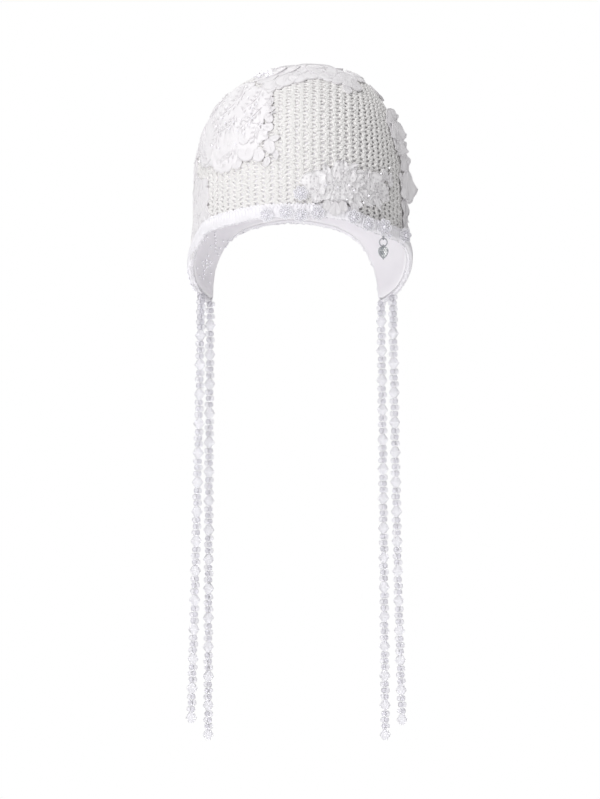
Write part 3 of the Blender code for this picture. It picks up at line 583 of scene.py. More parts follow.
def turned_shape(profile, sides, twist=0.5):
    """A shape turned about Z from rows of (radius, height), each row turned by twist of a facet."""
    rings = []
    for row, (radius, height) in enumerate(profile):
        turn = once_round(sides, twist * row)
        rings.append(np.stack([radius * np.cos(turn), radius * np.sin(turn), 0.0 * turn + height], axis=1))
    ends = [(0.0, 0.0, profile[0][1]), (0.0, 0.0, profile[-1][1])]
    points, quads, fans = skin(rings, ends, True)
    quads = quads.reshape(-1, 1, sides, 4)
    facets = np.concatenate([quads[..., [3, 0, 2]], quads[..., [0, 1, 2]]], axis=1).reshape(-1, 3)
    return points, np.zeros((0, 4), int), np.concatenate([facets, fans])


# Beads as shares of their radius: round, tall, a pointed large one and a seed bead
ROUND_BEAD = turned_shape([(0.62, -0.78), (0.97, -0.26), (0.97, 0.26), (0.62, 0.78)], 8)
TALL_BEAD = turned_shape([(0.45, -1.05), (0.88, -0.62), (1.02, 0.0), (0.88, 0.62), (0.45, 1.05)], 8)
CUT_BEAD = turned_shape([(0.36, -0.5), (0.66, -0.32), (1.0, -0.04), (1.0, 0.04), (0.66, 0.32),
                         (0.36, 0.5)], 8)
SEED_BEAD = turned_shape([(0.70, -0.55), (1.00, 0.0), (0.70, 0.55)], 7)


def frames(out):
    """Axes (sideways, up, out) for directions out of the cloth."""
    side = unit(np.cross(np.broadcast_to((0.0, 0.0, 1.0), out.shape), out))
    return np.stack([side, np.cross(out, side), out], axis=-2)


# Materials

WHITE = (1.0, 1.0, 1.0, 1.0)


def linear(hex_colour):
    """An sRGB hex colour as linear RGBA."""
    parts = np.array([int(hex_colour[i:i + 2], 16) for i in (1, 3, 5)]) / 255.0
    flat = np.where(parts <= 0.04045, parts / 12.92, ((parts + 0.055) / 1.055) ** 2.4)
    return (*[float(v) for v in flat], 1.0)


# Light goes a millimetre into thread and glass, all colours alike
SCATTER = {"Subsurface_Scale": 0.001, "Subsurface_Radius": (1.0, 1.0, 1.0)}
RELIEF_DEPTH = 0.0002


def new_material(name, **sockets):
    """A Principled material with values on its own sockets."""
    made = bpy.data.materials.new(name)
    made.use_nodes = True
    shader = made.node_tree.nodes["Principled BSDF"]
    for socket, value in sockets.items():
        shader.inputs[socket.replace("_", " ")].default_value = value
    return made, made.node_tree, shader


def add_node(tree, kind, settings=None, **links):
    """Adds a node, sets its properties and links or sets its inputs by name or number."""
    node = tree.nodes.new(kind)
    for key, value in (settings or {}).items():
        setattr(node, key, value)
    for key, value in links.items():
        socket = node.inputs[int(key[1:])] if key[0] == "i" and key[1:].isdigit() else node.inputs[key]
        if isinstance(value, bpy.types.NodeSocket):
            tree.links.new(value, socket)
        else:
            socket.default_value = value
    return node


def toned_material(name, grain, low, high, **sockets):
    """A material in two close tones, mixed by a soft noise with grain waves to a metre."""
    made, tree, shader = new_material(name, **sockets)
    where = add_node(tree, "ShaderNodeTexCoord")
    noise = add_node(tree, "ShaderNodeTexNoise", Vector=where.outputs["Object"], Scale=grain, Detail=3.0)
    tone = add_node(tree, "ShaderNodeMix", {"data_type": "RGBA"}, Factor=noise.outputs["Fac"], A=low, B=high)
    tree.links.new(tone.outputs["Result"], shader.inputs["Base Color"])
    return made, tree, shader, tone.outputs["Result"]


def raise_threads(tree, shader, along, around, strength):
    """Threads raised by the sine of along * U + around * V on the piece's own UV map."""
    uv = add_node(tree, "ShaderNodeUVMap", {"uv_map": "surface"})
    parts = add_node(tree, "ShaderNodeSeparateXYZ", Vector=uv.outputs["UV"])
    turn = add_node(tree, "ShaderNodeMath", {"operation": "MULTIPLY"}, i0=parts.outputs["Y"], i1=around)
    phase = add_node(tree, "ShaderNodeMath", {"operation": "MULTIPLY_ADD"}, i0=parts.outputs["X"], i1=along,
                     i2=turn.outputs[0])
    wave = add_node(tree, "ShaderNodeMath", {"operation": "SINE"}, i0=phase.outputs[0])
    relief = add_node(tree, "ShaderNodeBump", Strength=strength, Distance=RELIEF_DEPTH,
                      Height=wave.outputs[0])
    tree.links.new(relief.outputs["Normal"], shader.inputs["Normal"])


def yarn_material(name, low, high, ply_mm, plies, bump):
    """Cotton yarn twisted from a few plies: its colour is uneven, and the twist runs round the thread.

    Mercerised cotton is white with a soft sheen, and fine fibres blur its highlights.
    """
    made, tree, shader, _ = toned_material(name, 60.0, low, high, Roughness=0.72, Sheen_Weight=0.25,
                                           Sheen_Roughness=0.5, Subsurface_Weight=0.15, **SCATTER)
    raise_threads(tree, shader, 2.0 * math.pi / ply_mm, 2.0 * math.pi * plies, bump)
    return made


def cloth_material(name, low, high, roughness, thread_mm, bump):
    """A fine knitted or woven cloth: threads both ways on Object coordinates, drawn as a soft bump."""
    made, tree, shader, _ = toned_material(name, 45.0, low, high, Roughness=roughness, Sheen_Weight=0.2,
                                           Sheen_Roughness=0.4, Subsurface_Weight=0.15, **SCATTER)
    where = add_node(tree, "ShaderNodeTexCoord")
    cells = add_node(tree, "ShaderNodeTexVoronoi", Vector=where.outputs["Object"], Scale=1000.0 / thread_mm)
    relief = add_node(tree, "ShaderNodeBump", Strength=bump, Distance=RELIEF_DEPTH,
                      Height=cells.outputs["Distance"])
    tree.links.new(relief.outputs["Normal"], shader.inputs["Normal"])
    return made


def lace_material(name, low, high, eyelet_mm=0.0, eyelet=None):
    """Satin-stitched lace: 60 stitches that fan out from a petal's root, and rows 3 mm apart.

    Openwork lace has eyelets too, eyelet_mm apart: not holes but painted dots of shade in the eyelet tone,
    for the shaded yarn behind.
    """
    made, tree, shader, tone = toned_material(name, 70.0, low, high, Roughness=0.5, Sheen_Weight=0.3,
                                              Sheen_Roughness=0.35)
    if eyelet_mm:
        where = add_node(tree, "ShaderNodeTexCoord")
        cells = add_node(tree, "ShaderNodeTexVoronoi", Vector=where.outputs["Object"],
                         Scale=1000.0 / eyelet_mm, Randomness=0.7)
        # Painted shade of an eyelet where a cell's middle is near, with a soft edge
        painted_shade_mask = add_node(tree, "ShaderNodeMath", {"operation": "MULTIPLY_ADD", "use_clamp": True},
                        i0=cells.outputs["Distance"], i1=-4.5, i2=1.9)
        mix = add_node(tree, "ShaderNodeMix", {"data_type": "RGBA"}, Factor=painted_shade_mask.outputs[0], A=tone,
                       B=eyelet)
        tree.links.new(mix.outputs["Result"], shader.inputs["Base Color"])
    raise_threads(tree, shader, 2.2, 2.0 * math.pi * 60, 0.35)
    return made


def facet_reflection_material(name, low, high):
    """Cut metallic stones with painted reflections: each facet's tone, from dark to bright, is kept in the
    UV map and stands in for what the facet reflects.
    """
    made, tree, shader = new_material(name, Roughness=0.2, Metallic=0.9)
    uv = add_node(tree, "ShaderNodeUVMap", {"uv_map": "surface"})
    parts = add_node(tree, "ShaderNodeSeparateXYZ", Vector=uv.outputs["UV"])
    mix = add_node(tree, "ShaderNodeMix", {"data_type": "RGBA"}, Factor=parts.outputs["X"], A=low, B=high)
    tree.links.new(mix.outputs["Result"], shader.inputs["Base Color"])
    return made


# Settings

def metres(name, description, default, least=-1.0):
    """A setting in metres."""
    return bpy.props.FloatProperty(name=name, description=description, default=default, min=least,
                                   unit="LENGTH")


def colour(name, description, hex_colour):
    """A setting that is a colour, from its sRGB hex value."""
    return bpy.props.FloatVectorProperty(name=name, description=description, subtype="COLOR", size=4,
                                         min=0.0, max=1.0, default=linear(hex_colour))


class YarnSettings(bpy.types.PropertyGroup):
    """The crochet's yarn and stitches."""

    column_pitch: metres("Column pitch", "From one column of stitches to the next", 0.00725, 0.004)
    row_pitch: metres("Row pitch", "From one row of stitches to the next", 0.0038, 0.002)
    column_shift: metres("Column shift", "Where the column nearest to the middle of the front is", 0.0016)
    radius: metres("Yarn radius", "Half of the thickness of a strand in a column", 0.00137, 0.0003)
    bar_radius: metres("Bar radius", "Half of the thickness of the loops between columns", 0.00098, 0.0003)
    colour_low: colour("Shaded colour", "Darker tone of the yarn", "#f2f0ef")
    colour_high: colour("Bright colour", "Lighter tone of the yarn", "#f9f7f6")


class TrimSettings(bpy.types.PropertyGroup):
    """Hem, lace and lining."""

    stitch_pitch: metres("Hem stitch pitch", "From one stitch of the hem to the next", 0.0033, 0.001)
    cord_radius: metres("Lace cord radius", "Half of the thickness of petals' cord", 0.00045, 0.0002)
    lace_low: colour("Lace shade", "Darker tone of the lace", "#efecef")
    lace_high: colour("Lace light", "Lighter tone of the lace", "#f7f5f7")
    open_low: colour("Openwork shade", "Darker tone of the openwork lace", "#f7f5f7")
    open_high: colour("Openwork light", "Lighter tone of the openwork lace", "#fefcfe")
    # Painted shade: the tone painted in the openwork's eyelets for the shaded yarn behind them
    eyelet: colour("Eyelet shade", "Tone that shows in the openwork's eyelets", "#dad7da")
    hem_low: colour("Hem shade", "Darker tone of the hem", "#eeecf1")
    hem_high: colour("Hem light", "Lighter tone of the hem", "#f8f6fa")
    rosette_low: colour("Rosette shade", "Darker tone of the rosettes' cord", "#e9e7ed")
    rosette_high: colour("Rosette light", "Lighter tone of the rosettes' cord", "#f6f5f9")
    jersey_low: colour("Jersey shade", "Darker tone of the lining", "#f4f1f6")
    jersey_high: colour("Jersey light", "Lighter tone of the lining", "#faf8fb")


class BeadSettings(bpy.types.PropertyGroup):
    """Beads of the ties and rosettes, and the charm."""

    large_width: metres("Large bead width", "Width of a pointed bead", 0.0093, 0.003)
    large_height: metres("Large bead height", "Height of a pointed bead", 0.0092, 0.003)
    small_radius: metres("Small bead radius", "Half of the width of a small bead", 0.00225, 0.0008)
    layer_pitch: metres("Layer pitch", "From one layer of small beads to the next", 0.0046, 0.002)
    crystal_low: colour("Crystal shade", "Darker tone of the crystal", "#f4f3f8")
    crystal_high: colour("Crystal light", "Lighter tone of the crystal", "#fdfcff")
    pearl_low: colour("Pearl shade", "Darker tone of the rosettes' pearls", "#e5e2eb")
    pearl_high: colour("Pearl light", "Lighter tone of the rosettes' pearls", "#f8f7fc")
    silver_low: colour("Silver shade", "Tone of the charm's silver in its recesses", "#74767b")
    silver_high: colour("Silver light", "Tone of the charm's silver on its edges", "#b4b6ba")
    # Painted reflections: the darkest and brightest tones painted on the stones' facets, in place of what
    # each facet reflects
    stone_reflection_dark: colour("Stone shade", "Tone of the charm's darkest facets", "#9a9ea2")
    stone_reflection_bright: colour("Stone light", "Tone of the charm's brightest facets", "#fdfdfd")


class StageSettings(bpy.types.PropertyGroup):
    """Floor, light and camera."""

    floor_height: metres("Floor height", "Height of the floor under the hanging ties", -0.75)
    world_light: bpy.props.FloatProperty(
        name="Room light", description="Strength of the light from all sides", default=0.27, min=0.0)
    key_power: bpy.props.FloatProperty(
        name="Key light", description="Power of the large light at the front left", default=31.0, min=0.0,
        unit="POWER")


# Pieces

# A column's plait: how far its strands go to the sides and in and out, how deep its middle lies under
# the crochet's outer face, and how far the whole column sways with every other and with its own phase
PLAIT_WIDTH = 0.00096
PLAIT_DEPTH = 0.00014
PLAIT_SUNK = 0.0015
SWAY = 0.00088
SWAY_APART = 0.00020
# Where columns and loops stop: short of the side line, and over the hem line
SIDE_GAP = 0.0008
COLUMN_EDGE = 0.0018
LOOP_EDGE = 0.0020
# How deep a loop lies under the outer face, how much its middle sags, how far its ends are apart in
# height, and how much heights and thicknesses differ
LOOP_SUNK = 0.0012
LOOP_SAG = 0.0002
LOOP_SLANT = 0.0005
LOOP_UNEVEN = 0.00016
LOOP_SIZES = 0.09
# Yarn drawn thinner on the front: the middle and half width of the change, and its part of the radius
DRAWN_MIDDLE = 0.046
DRAWN_SPREAD = 0.028
DRAWN_COLUMN = 0.075
DRAWN_LOOP = 0.11


def rib_strands(s, t, back, settings, phase):
    """Three strands of one column, plaited.

    Strand i runs at s + PLAIT_WIDTH * sin a and goes in and out with PLAIT_DEPTH * sin 2 a, where a is
    2 pi t / period + 2 pi i / 3. The period is three rows, so that a stitch shows in each row. The
    whole column sways every two rows.
    """
    turn = 2.0 * np.pi * t[None, :] / (3.0 * settings.row_pitch) + once_round(3)[:, None]
    rows = np.pi * t / settings.row_pitch
    sway = SWAY * np.sin(rows + 0.25 * np.pi) + SWAY_APART * np.sin(rows + phase)
    across = np.broadcast_to(s, t.shape)[None, :] + PLAIT_WIDTH * np.sin(turn) + sway[None, :]
    lift = -PLAIT_SUNK + PLAIT_DEPTH * np.sin(2.0 * turn)
    return GRID.place(across, np.broadcast_to(t, across.shape), lift, back)


def crochet_part(settings, back, side):
    """One quarter of the crochet: its columns, the loops between them and, in front, the side line.

    A loop is a tube of four points from column to column, thicker at its ends and lower in its
    middle. Loops slant one way and the other from column to column, half a row apart, and each has
    a random height and thickness. On the front, yarn is drawn thinner towards +X by a hyperbolic
    tangent, as the stretched crochet shows there. The back has fewer points and sides.
    """
    made = Pieces()
    pitch, row = settings.column_pitch, settings.row_pitch
    per_row, sides = (3.6, 5) if back else (4.1, 6)
    t = np.arange(-FLAP_DROP - row, GRID.top, row / per_row)
    numbers = np.arange(-24, 25)
    columns = settings.column_shift + numbers * pitch
    keep = columns >= 0.0 if side > 0 else columns < 0.0
    numbers, columns = numbers[keep], columns[keep]

    def over_hem(s, t, edge):
        return GRID.height(t) > hem_height(GRID.angle(s, t, back)) + edge

    def inside(s, t, edge):
        return over_hem(s, t, edge) & (np.abs(s) < GRID.quarter(t, back) - SIDE_GAP)

    def drawn(s, most):
        return 1.0 if back else 1.0 - most * np.tanh((s - DRAWN_MIDDLE) / DRAWN_SPREAD)

    for number, s in zip(numbers, columns):
        here = t[inside(np.full(t.shape, s), t, COLUMN_EDGE)]
        if len(here) > 6:
            paths, outs = rib_strands(s, here, back, settings, np.pi * (number % 2))
            made.add(*tubes(paths, outs, settings.radius * drawn(s, DRAWN_COLUMN), sides))
    if not back:
        seam = t[GRID.height(t) > hem_height(90.0 * side) + COLUMN_EDGE]
        paths, outs = rib_strands(side * GRID.quarter(seam, back), seam, back, settings, 0.0)
        made.add(*tubes(paths, outs, settings.radius, 6))

    rows = np.arange(math.floor(-FLAP_DROP / row), math.ceil(GRID.top / row)) * row
    starts, levels = [a.ravel() for a in np.meshgrid(columns, rows, indexing="ij")]
    numbers = np.repeat(numbers, len(rows))
    if side > 0:
        starts = np.concatenate([starts, np.full(len(rows), columns.min() - pitch)])
        levels, numbers = np.concatenate([levels, rows]), np.concatenate([numbers, 0 * rows - 1])
    step = pitch if side > 0 else -pitch
    quarter = GRID.quarter(levels, back)
    ends = np.where(np.abs(starts + step) > quarter - SIDE_GAP, side * quarter, starts + step)
    part = np.linspace(0.10, 0.90, 4)
    slant = LOOP_SLANT * np.where(numbers % 2, 1.0, -1.0)
    chance = np.random.default_rng(3 + 2 * back + side)
    levels = levels + 0.5 * row * (numbers % 2) + LOOP_UNEVEN * chance.standard_normal(len(levels))
    sizes = np.clip(1.0 + LOOP_SIZES * chance.standard_normal(len(levels)), 0.8, 1.2)
    across = starts[:, None] + (ends - starts)[:, None] * part
    up = levels[:, None] + slant[:, None] * (2.0 * part - 1.0)
    lift = -LOOP_SUNK - LOOP_SAG * np.sin(np.pi * part)
    first, last = (across[:, 0], up[:, 0], LOOP_EDGE), (across[:, -1], up[:, -1], LOOP_EDGE)
    ok = inside(*first) & over_hem(*last) | (starts * side < 0.0) & inside(*last)
    paths, outs = GRID.place(across[ok], up[ok], np.broadcast_to(lift, across[ok].shape), back)
    thicker = settings.bar_radius * (1.0 + 0.35 * (2.0 * part - 1.0) ** 2)
    fuller = drawn(across[ok].mean(axis=1, keepdims=True), DRAWN_LOOP)
    return made.add(*tubes(paths, outs, sizes[ok, None] * fuller * thicker, sides - 1))


def hem_path(count):
    """Angles evenly spaced along the hem line, the distance along it, and its whole length."""
    fine = np.linspace(-180.0, 180.0, 7201)
    along = arc_length(wall(fine, hem_height(fine))[0])
    even = np.linspace(0.0, along[-1], count, endpoint=False)
    return np.interp(even, along, fine), even, along[-1]


def beside_hem(angles, offset):
    """Angle and height of the place offset over the hem line, square to it on the flattened wall."""
    fine = np.linspace(-200.0, 200.0, 3201)
    along = arc_length(wall(fine, np.zeros_like(fine))[0])
    run, climb = np.gradient(along), np.gradient(hem_height(fine))
    size = np.hypot(run, climb)
    at = np.interp(angles, fine, along)
    side, up = np.interp(angles, fine, -climb / size), np.interp(angles, fine, run / size)
    turned = np.interp(at + offset * side, along, fine)
    return turned, hem_height(angles) + offset * up


# Section of the hem strip in millimetres: place over the hem line, and lift off the crochet's face
HEM_SECTION = np.array([
    (9.0, -0.8), (9.4, -0.1), (8.9, 0.7), (7.9, 1.4), (7.2, 1.6), (6.5, 1.8), (5.8, 2.0), (5.0, 2.15),
    (4.0, 2.25), (2.6, 2.3), (0.4, 2.1), (-0.8, 1.4),
    (-1.3, 0.2), (-1.35, -0.8), (-1.2, -1.7), (-0.8, -2.3), (-0.2, -2.6), (0.5, -2.65), (0.9, -2.5),
    (0.6, -1.8), (0.3, -1.2), (0.5, -0.5), (4.5, -0.4),
])


def hem_band(trim):
    """A strip of stitches round the hem, turned in under its edge.

    Its section is HEM_SECTION. The outer face swells by a cosine along the hem, whose phase runs
    ahead towards the edges so that the stitches look like small arrows, and both edges scallop by
    a root of the sine's size, the upper one unevenly. Near the upper edge, each stitch has an eyelet:
    a dimple of the raised cosine's fourth power, by a bell curve across.
    """
    relief, dimple, dimple_at, dimple_half = 0.00024, 0.0013, 0.0063, 0.0011
    high_scallop, low_scallop, unevenness = 0.0018, 0.0007, 0.0004
    middle_at, middle_half, ahead = 0.0040, 0.0050, 0.35
    face_from, face_over, upper_from, upper_over, lower_over = 0.0008, 0.0010, 0.0065, 0.0020, 0.0010
    angles, along, length = hem_path(1440)
    stitches = round(length / trim.stitch_pitch)
    offset, lift = 0.001 * HEM_SECTION.T
    middle = np.clip(1.0 - np.abs(offset - middle_at) / middle_half, 0.0, 1.0)
    phase = 2.0 * np.pi * (stitches * along[:, None] / length - ahead * middle[None, :])
    facing = np.clip((lift - face_from) / face_over, 0.0, 1.0)
    across = np.exp(-((offset - dimple_at) / dimple_half) ** 2)
    eyelets = dimple * (0.5 - 0.5 * np.cos(phase)) ** 4 * across
    swell = relief * np.cos(phase) * facing - eyelets * facing
    scallop = np.abs(np.sin(0.5 * phase)) ** 0.7 - 0.5
    uneven = np.sin(0.37 * phase + 1.3) * np.sin(0.11 * phase)
    upper = np.clip((offset - upper_from) / upper_over, 0.0, 1.0)
    lower = np.clip(-offset / lower_over, 0.0, 1.0)
    offset = offset + (high_scallop * scallop + unevenness * uneven) * upper - low_scallop * scallop * lower
    point, out = wall(*beside_hem(angles[:, None], offset))
    points = point + (lift[None, :] + swell)[..., None] * out
    count = len(HEM_SECTION)
    return Pieces().add(points, grid_quads(len(angles) + 1, count) % (len(angles) * count))


def hem_picots(trim):
    """Small loops of thread along the hem's lower edge and inside it, of uneven size and lean."""
    angles = hem_path(2 * round(hem_path(8)[2] / trim.stitch_pitch))[0]
    chance = np.random.default_rng(12)
    least, thread = 0.0005, 0.00040
    made = Pieces()
    # Place over the hem line, lift, size and how far round from the front: the inner row stops at the tips
    for offset, lift, reach, end in ((-0.0012, -0.0004, 0.0010, 181.0), (-0.0002, -0.0026, 0.0009, 118.0)):
        points, outs = wall(*beside_hem(angles, np.full(len(angles), offset)))
        points = points + lift * outs
        ways = unit(np.roll(points, -1, axis=0) - np.roll(points, 1, axis=0))
        seen = np.abs(angles) < end
        for point, out, way in zip(points[seen], outs[seen], ways[seen]):
            lean, size = 0.5 * chance.standard_normal(), reach * (1.0 + 0.35 * chance.standard_normal())
            down = np.cross(out, way) * math.cos(lean) + out * math.sin(lean)
            across = unit(way + 0.3 * lean * down)
            made.add(*wire_ring(point, across, down, max(size, least), thread, 8, 4))
    return made


def lining_skin():
    """The jersey: two faces of the crochet's form, further in, joined at the hem and closed at the pole.

    Its outer face is LINING_BACK behind the crochet's. Over the hem band it comes away from it, by
    LINING_SLACK times the hyperbolic tangent of the way across, so that it lies closer on the left than
    on the right, plus LINING_LOOSE towards the tips, under the height LOOSE_UNDER. Its inner face stays
    where the solid has it, and starts LINING_ROLL over the hem, so that the edge between the two is a
    rolled slope.
    """
    angles = np.linspace(-180.0, 180.0, 200, endpoint=False)
    low = hem_height(angles) + LINING_SHORT
    share = np.linspace(0.0, 1.0, 46)[:-1, None] ** 0.9
    point, out = wall(angles[None, :], GRID.height(low + (GRID.top - low) * share))
    loose = LINING_SLACK * np.tanh((point[..., :1] - SLACK_MIDDLE) / SLACK_SPREAD)
    loose = loose + LINING_LOOSE * np.clip(1.0 - point[..., 2:] / LOOSE_UNDER, 0.0, 1.0)
    free = np.clip((GRID.top - low) * share / BAND_WIDTH, 0.0, 1.0)[..., None]
    outer = point - (LINING_BACK + loose * free) * out
    low = low + LINING_ROLL
    point, out = wall(angles[None, :], GRID.height(low + (GRID.top - low) * share))
    inner = point - LINING_DEPTH * out
    top, up = wall(0.0, CROWN_RISE)
    return Pieces().add(*skin([*outer[::-1], *inner], [top - LINING_BACK * up, top - LINING_DEPTH * up]))


def petal_places(rows, from_front=True):
    """Rows of a petal table in metres, with the angle in place of the way across."""
    places = []
    for x, z, length, width, turn, lift, pointed, *roll in rows:
        angle = seen_from_front(0.001 * x, 0.001 * z) if from_front else x
        places.append((angle, 0.001 * z, 0.001 * length, 0.001 * width, turn, 0.001 * lift, pointed, *roll))
    return places


def petal(place, number, cord_radius, made, seat, rim, frill, count=24):
    """A petal sewn on near its root, its cord and its vein.

    Its outline has count points: length * near_tip along and 0.62 * width * sin a * near_root **
    (pointed / 2) across, where near_tip is (1 - cos a) / 2 and near_root is (1 + cos a) / 2. A last
    factor draws the root in, and two sines times frill make the sides uneven. Rings run from a point
    near the root out to that outline. The face starts seat off the wall, lifts towards the tip by the
    power 1.6 of the way along, cups at its sides by the square of the way across and rolls to one
    side by roll. Pleats fan out from the root, as two cosines times frill. A second skin lies rim
    under it. A petal of few points has fewer rings and thinner tubes.
    """
    angle, height, length, width, turn, lift, pointed, *roll = place
    roll = roll[0] if roll else 0.0
    share, way = float(section_share(height)), math.radians(angle)
    base = np.array([HALF_WIDTH * share * math.sin(way), -HALF_DEPTH * share * math.cos(way), height])
    side, up, _ = frames(outward(*base))
    turn = math.radians(turn)
    along, across = math.cos(turn) * up + math.sin(turn) * side, math.cos(turn) * side - math.sin(turn) * up
    spin = once_round(count, 0.5)
    near_tip, near_root = 0.5 * (1.0 - np.cos(spin)), 0.5 * (1.0 + np.cos(spin))
    shape = np.sin(spin) * near_root ** (0.5 * pointed) * (0.35 + 0.65 * near_tip ** 0.5)
    ruffle = 1.0 + frill * (0.05 * np.sin(5.0 * spin + number) + 0.03 * np.sin(8.0 * spin + 2.3 * number))
    rim_x, rim_y = 0.62 * width * shape * ruffle, length * near_tip
    heart_y = 0.16 * length
    waves = 0.20 * np.cos(6.0 * spin + number) + 0.38 * np.sin(3.0 * spin + 1.7 * number)

    def face(part, offset):
        x, y = part * rim_x, heart_y + part * (rim_y - heart_y)
        place, out = dome(base + (y - 0.5 * length)[..., None] * along + x[..., None] * across)
        far = y / length
        cup = 0.9 * (2.0 * x / width) ** 2 * (0.3 + 0.7 * far)
        pleat = waves * part ** 2 * near_tip
        raised = seat + lift * (far ** 1.6 + cup * 0.45 * min(frill, 1.0))
        raised = raised + 0.001 * frill * pleat * min(width / 0.012, 1.0) + roll * (0.5 * width - x)
        return place + (raised + offset)[..., None] * out, out

    large = count > 12
    parts = np.array([0.14, 0.34, 0.54, 0.72, 0.88, 1.0] if large else [0.34, 0.72, 1.0])
    parts = parts[:, None] * np.ones(count)
    back = parts[::-1][::2]
    top, top_out = face(parts, 0.0)
    middles = [face(np.zeros(count), shift)[0][0] for shift in (0.0, -rim)]
    points, quads, tris = skin([*top, *face(back, -rim)[0]], middles, True)
    reach = 1000.0 * np.concatenate([parts[:, 0], back[:, 0]]) * length
    made.add(points, quads, tris, grid_uv(reach, count)[:, ::-1])
    made.add(*tubes(top[-1:], top_out[-1:], cord_radius, 6 if large else 4, True))
    y = np.linspace(0.05, 0.72, count // 3) * length
    vein, out = dome(base + (y - 0.5 * length)[:, None] * along)
    vein = vein + (seat + 0.0001 + lift * (y / length) ** 1.6 + 0.5 * roll * width)[:, None] * out
    made.add(*tubes(vein[None], out[None], 0.75 * cord_radius, 5 if large else 4))


# A sprig: how many degrees its leaves lean off the stem, and half of the thickness of stem and cord
LEAF_LEAN = 52.0
STEM_RADIUS = 0.00036
LEAF_CORD = 0.00022


def sprig(start, middle, stop, pairs, long, made):
    """Pairs of small leaves along a stem, which is a parabola through three places on the wall.

    Each leaf starts on the stem and leans LEAF_LEAN degrees off it, and they get smaller along it.
    """
    t = np.linspace(0.0, 1.0, 4 * pairs + 1)[:, None]
    start, middle, stop = [0.001 * np.array(place) for place in (start, middle, stop)]
    path = start * (1 - t) * (1 - 2 * t) + middle * 4 * t * (1 - t) + stop * t * (2 * t - 1)
    points, outs = spots_seen(path)
    made.add(*tubes((points + 0.0010 * outs)[None], outs[None], STEM_RADIUS, 5))
    way = np.gradient(path, axis=0)
    for number in range(pairs):
        at = 4 * number + 2
        heading = math.degrees(math.atan2(way[at, 0], way[at, 1]))
        for lean in (-LEAF_LEAN, LEAF_LEAN):
            turn = math.radians(heading + lean)
            x, z = path[at] + 0.00055 * long * np.array([math.sin(turn), math.cos(turn)])
            size = 0.001 * long * (1.0 - 0.04 * number)
            small = (seen_from_front(x, z), z, size, 0.44 * size, heading + lean, 0.0003, 0.8)
            petal(small, number, LEAF_CORD, made, seat=0.0008, rim=0.0009, frill=1.0, count=12)


def lace_ground(row, cord_radius):
    """A patch of fine net with a corded edge.

    Its centre is tilt degrees from the pole on the dome's own curve. Its outline is an oval drawn in by
    notch between lobes, as the absolute value of a cosine, and scalloped five times as fine. Its face
    swells by a product of a sine outwards and a cosine round.
    """
    power = 2.0 / DOME_FULLNESS
    way, lean = math.radians(row["angle"]), math.radians(row["tilt"])
    plan = math.sin(lean) ** power
    centre = np.array([HALF_WIDTH * plan * math.sin(way), -HALF_DEPTH * plan * math.cos(way),
                       CROWN_RISE * math.cos(lean) ** power])
    side = np.array([math.cos(way), math.sin(way), 0.0])
    up = unit(np.cross(centre, side))
    up = up if up[2] > 0 else -up
    turn = math.radians(row["turn"])
    side, up = side * math.cos(turn) + up * math.sin(turn), up * math.cos(turn) - side * math.sin(turn)
    spin = once_round(180)
    lobe = np.abs(np.cos(row["lobes"] * spin / 2.0))
    scallop = np.abs(np.sin(5.0 * row["lobes"] * spin / 2.0)) ** 0.6
    outline = (1.0 - row["notch"] * (1.0 - lobe)) * (0.955 + 0.05 * scallop)
    high, low, swelling = 0.0007, 0.0001, 0.0005

    def ring(part, lift):
        across = row["wide"] * HALF_WIDTH * part * outline * np.cos(spin)
        climb = row["tall"] * HALF_WIDTH * part * outline * np.sin(spin)
        place, out = dome(centre + across[:, None] * side + climb[:, None] * up)
        swell = swelling * np.sin(7.0 * part * np.pi) * np.cos(9.0 * spin) * part
        return place + (lift + swell)[:, None] * out, out

    parts = np.linspace(0.0, 1.0, 25)[1:]
    rings = [ring(part, high)[0] for part in parts] + [ring(part, low)[0] for part in parts[::-4]]
    made = Pieces().add(*skin(rings, [ring(0.0, lift)[0][0] for lift in (high, low)]))
    edge, out = ring(1.0, 0.5 * (high + low))
    return made.add(*tubes(edge[None], out[None], cord_radius, 6, True))


def seeds_on(rows, lift, radius, made):
    """Small beads on the lace, at places seen from the front."""
    points, outs = spots_seen(0.001 * np.array(rows))
    made.add(*copies(ROUND_BEAD, points + lift * outs, radius, frames(outs)))


def flap_beads(made):
    """Small beads along the tip of the left flap, and others sewn on the lining inside it."""
    pitch, radius, clear, under = 0.0021, 0.0009, 0.0006, 0.0008
    stand, sway, growth = 0.0021, 0.0007, 0.0002
    points, out = wall(*beside_hem(np.linspace(-TIP_ANGLE, -92.0, 300), -under))
    along = arc_length(points)
    even = np.arange(0.0, along[-1], pitch)
    spots, outs = [np.stack([np.interp(even, along, part[:, i]) for i in range(3)], axis=1)
                   for part in (points, out)]
    outs = unit(outs)
    wave = np.sin(2.0 * np.pi * even / (4.0 * pitch))
    beads = spots + (stand + sway * wave[:, None]) * outs
    made.add(*copies(ROUND_BEAD, beads, radius + growth * wave, frames(outs)))
    points, outs = spots_seen(0.001 * np.array(FLAP_SEEDS), seen_inside)
    made.add(*copies(ROUND_BEAD, points - (LINING_DEPTH + clear) * outs, radius, frames(-outs)))


def rosette_frame(number):
    """Centre of a rosette's back, and its axes."""
    angle, rise = ROSETTES[number]
    seat = SEAT_GAP + (BAND_FACE if rise < BAND_WIDTH else 0.0)
    point, out = wall(angle, hem_height(angle) + rise)
    return point + seat * out, frames(out)


def rosette_face(number):
    """A rosette's centre, axes and size as it is worn.

    Its face is turned by ROSETTE_TURN to the front, about a line half a radius further out, and it
    is larger by ROSETTE_SIZE.
    """
    centre, axes = rosette_frame(number)
    turn = math.radians(ROSETTE_TURN.get(number, 0.0))
    spun = np.array([[math.cos(turn), math.sin(turn), 0.0], [-math.sin(turn), math.cos(turn), 0.0],
                     [0.0, 0.0, 1.0]])
    size = ROSETTE_SIZE.get(number, 1.0)
    return centre + 0.5 * ROSETTE_RADIUS * abs(math.sin(turn)) * axes[2], axes @ spun, size


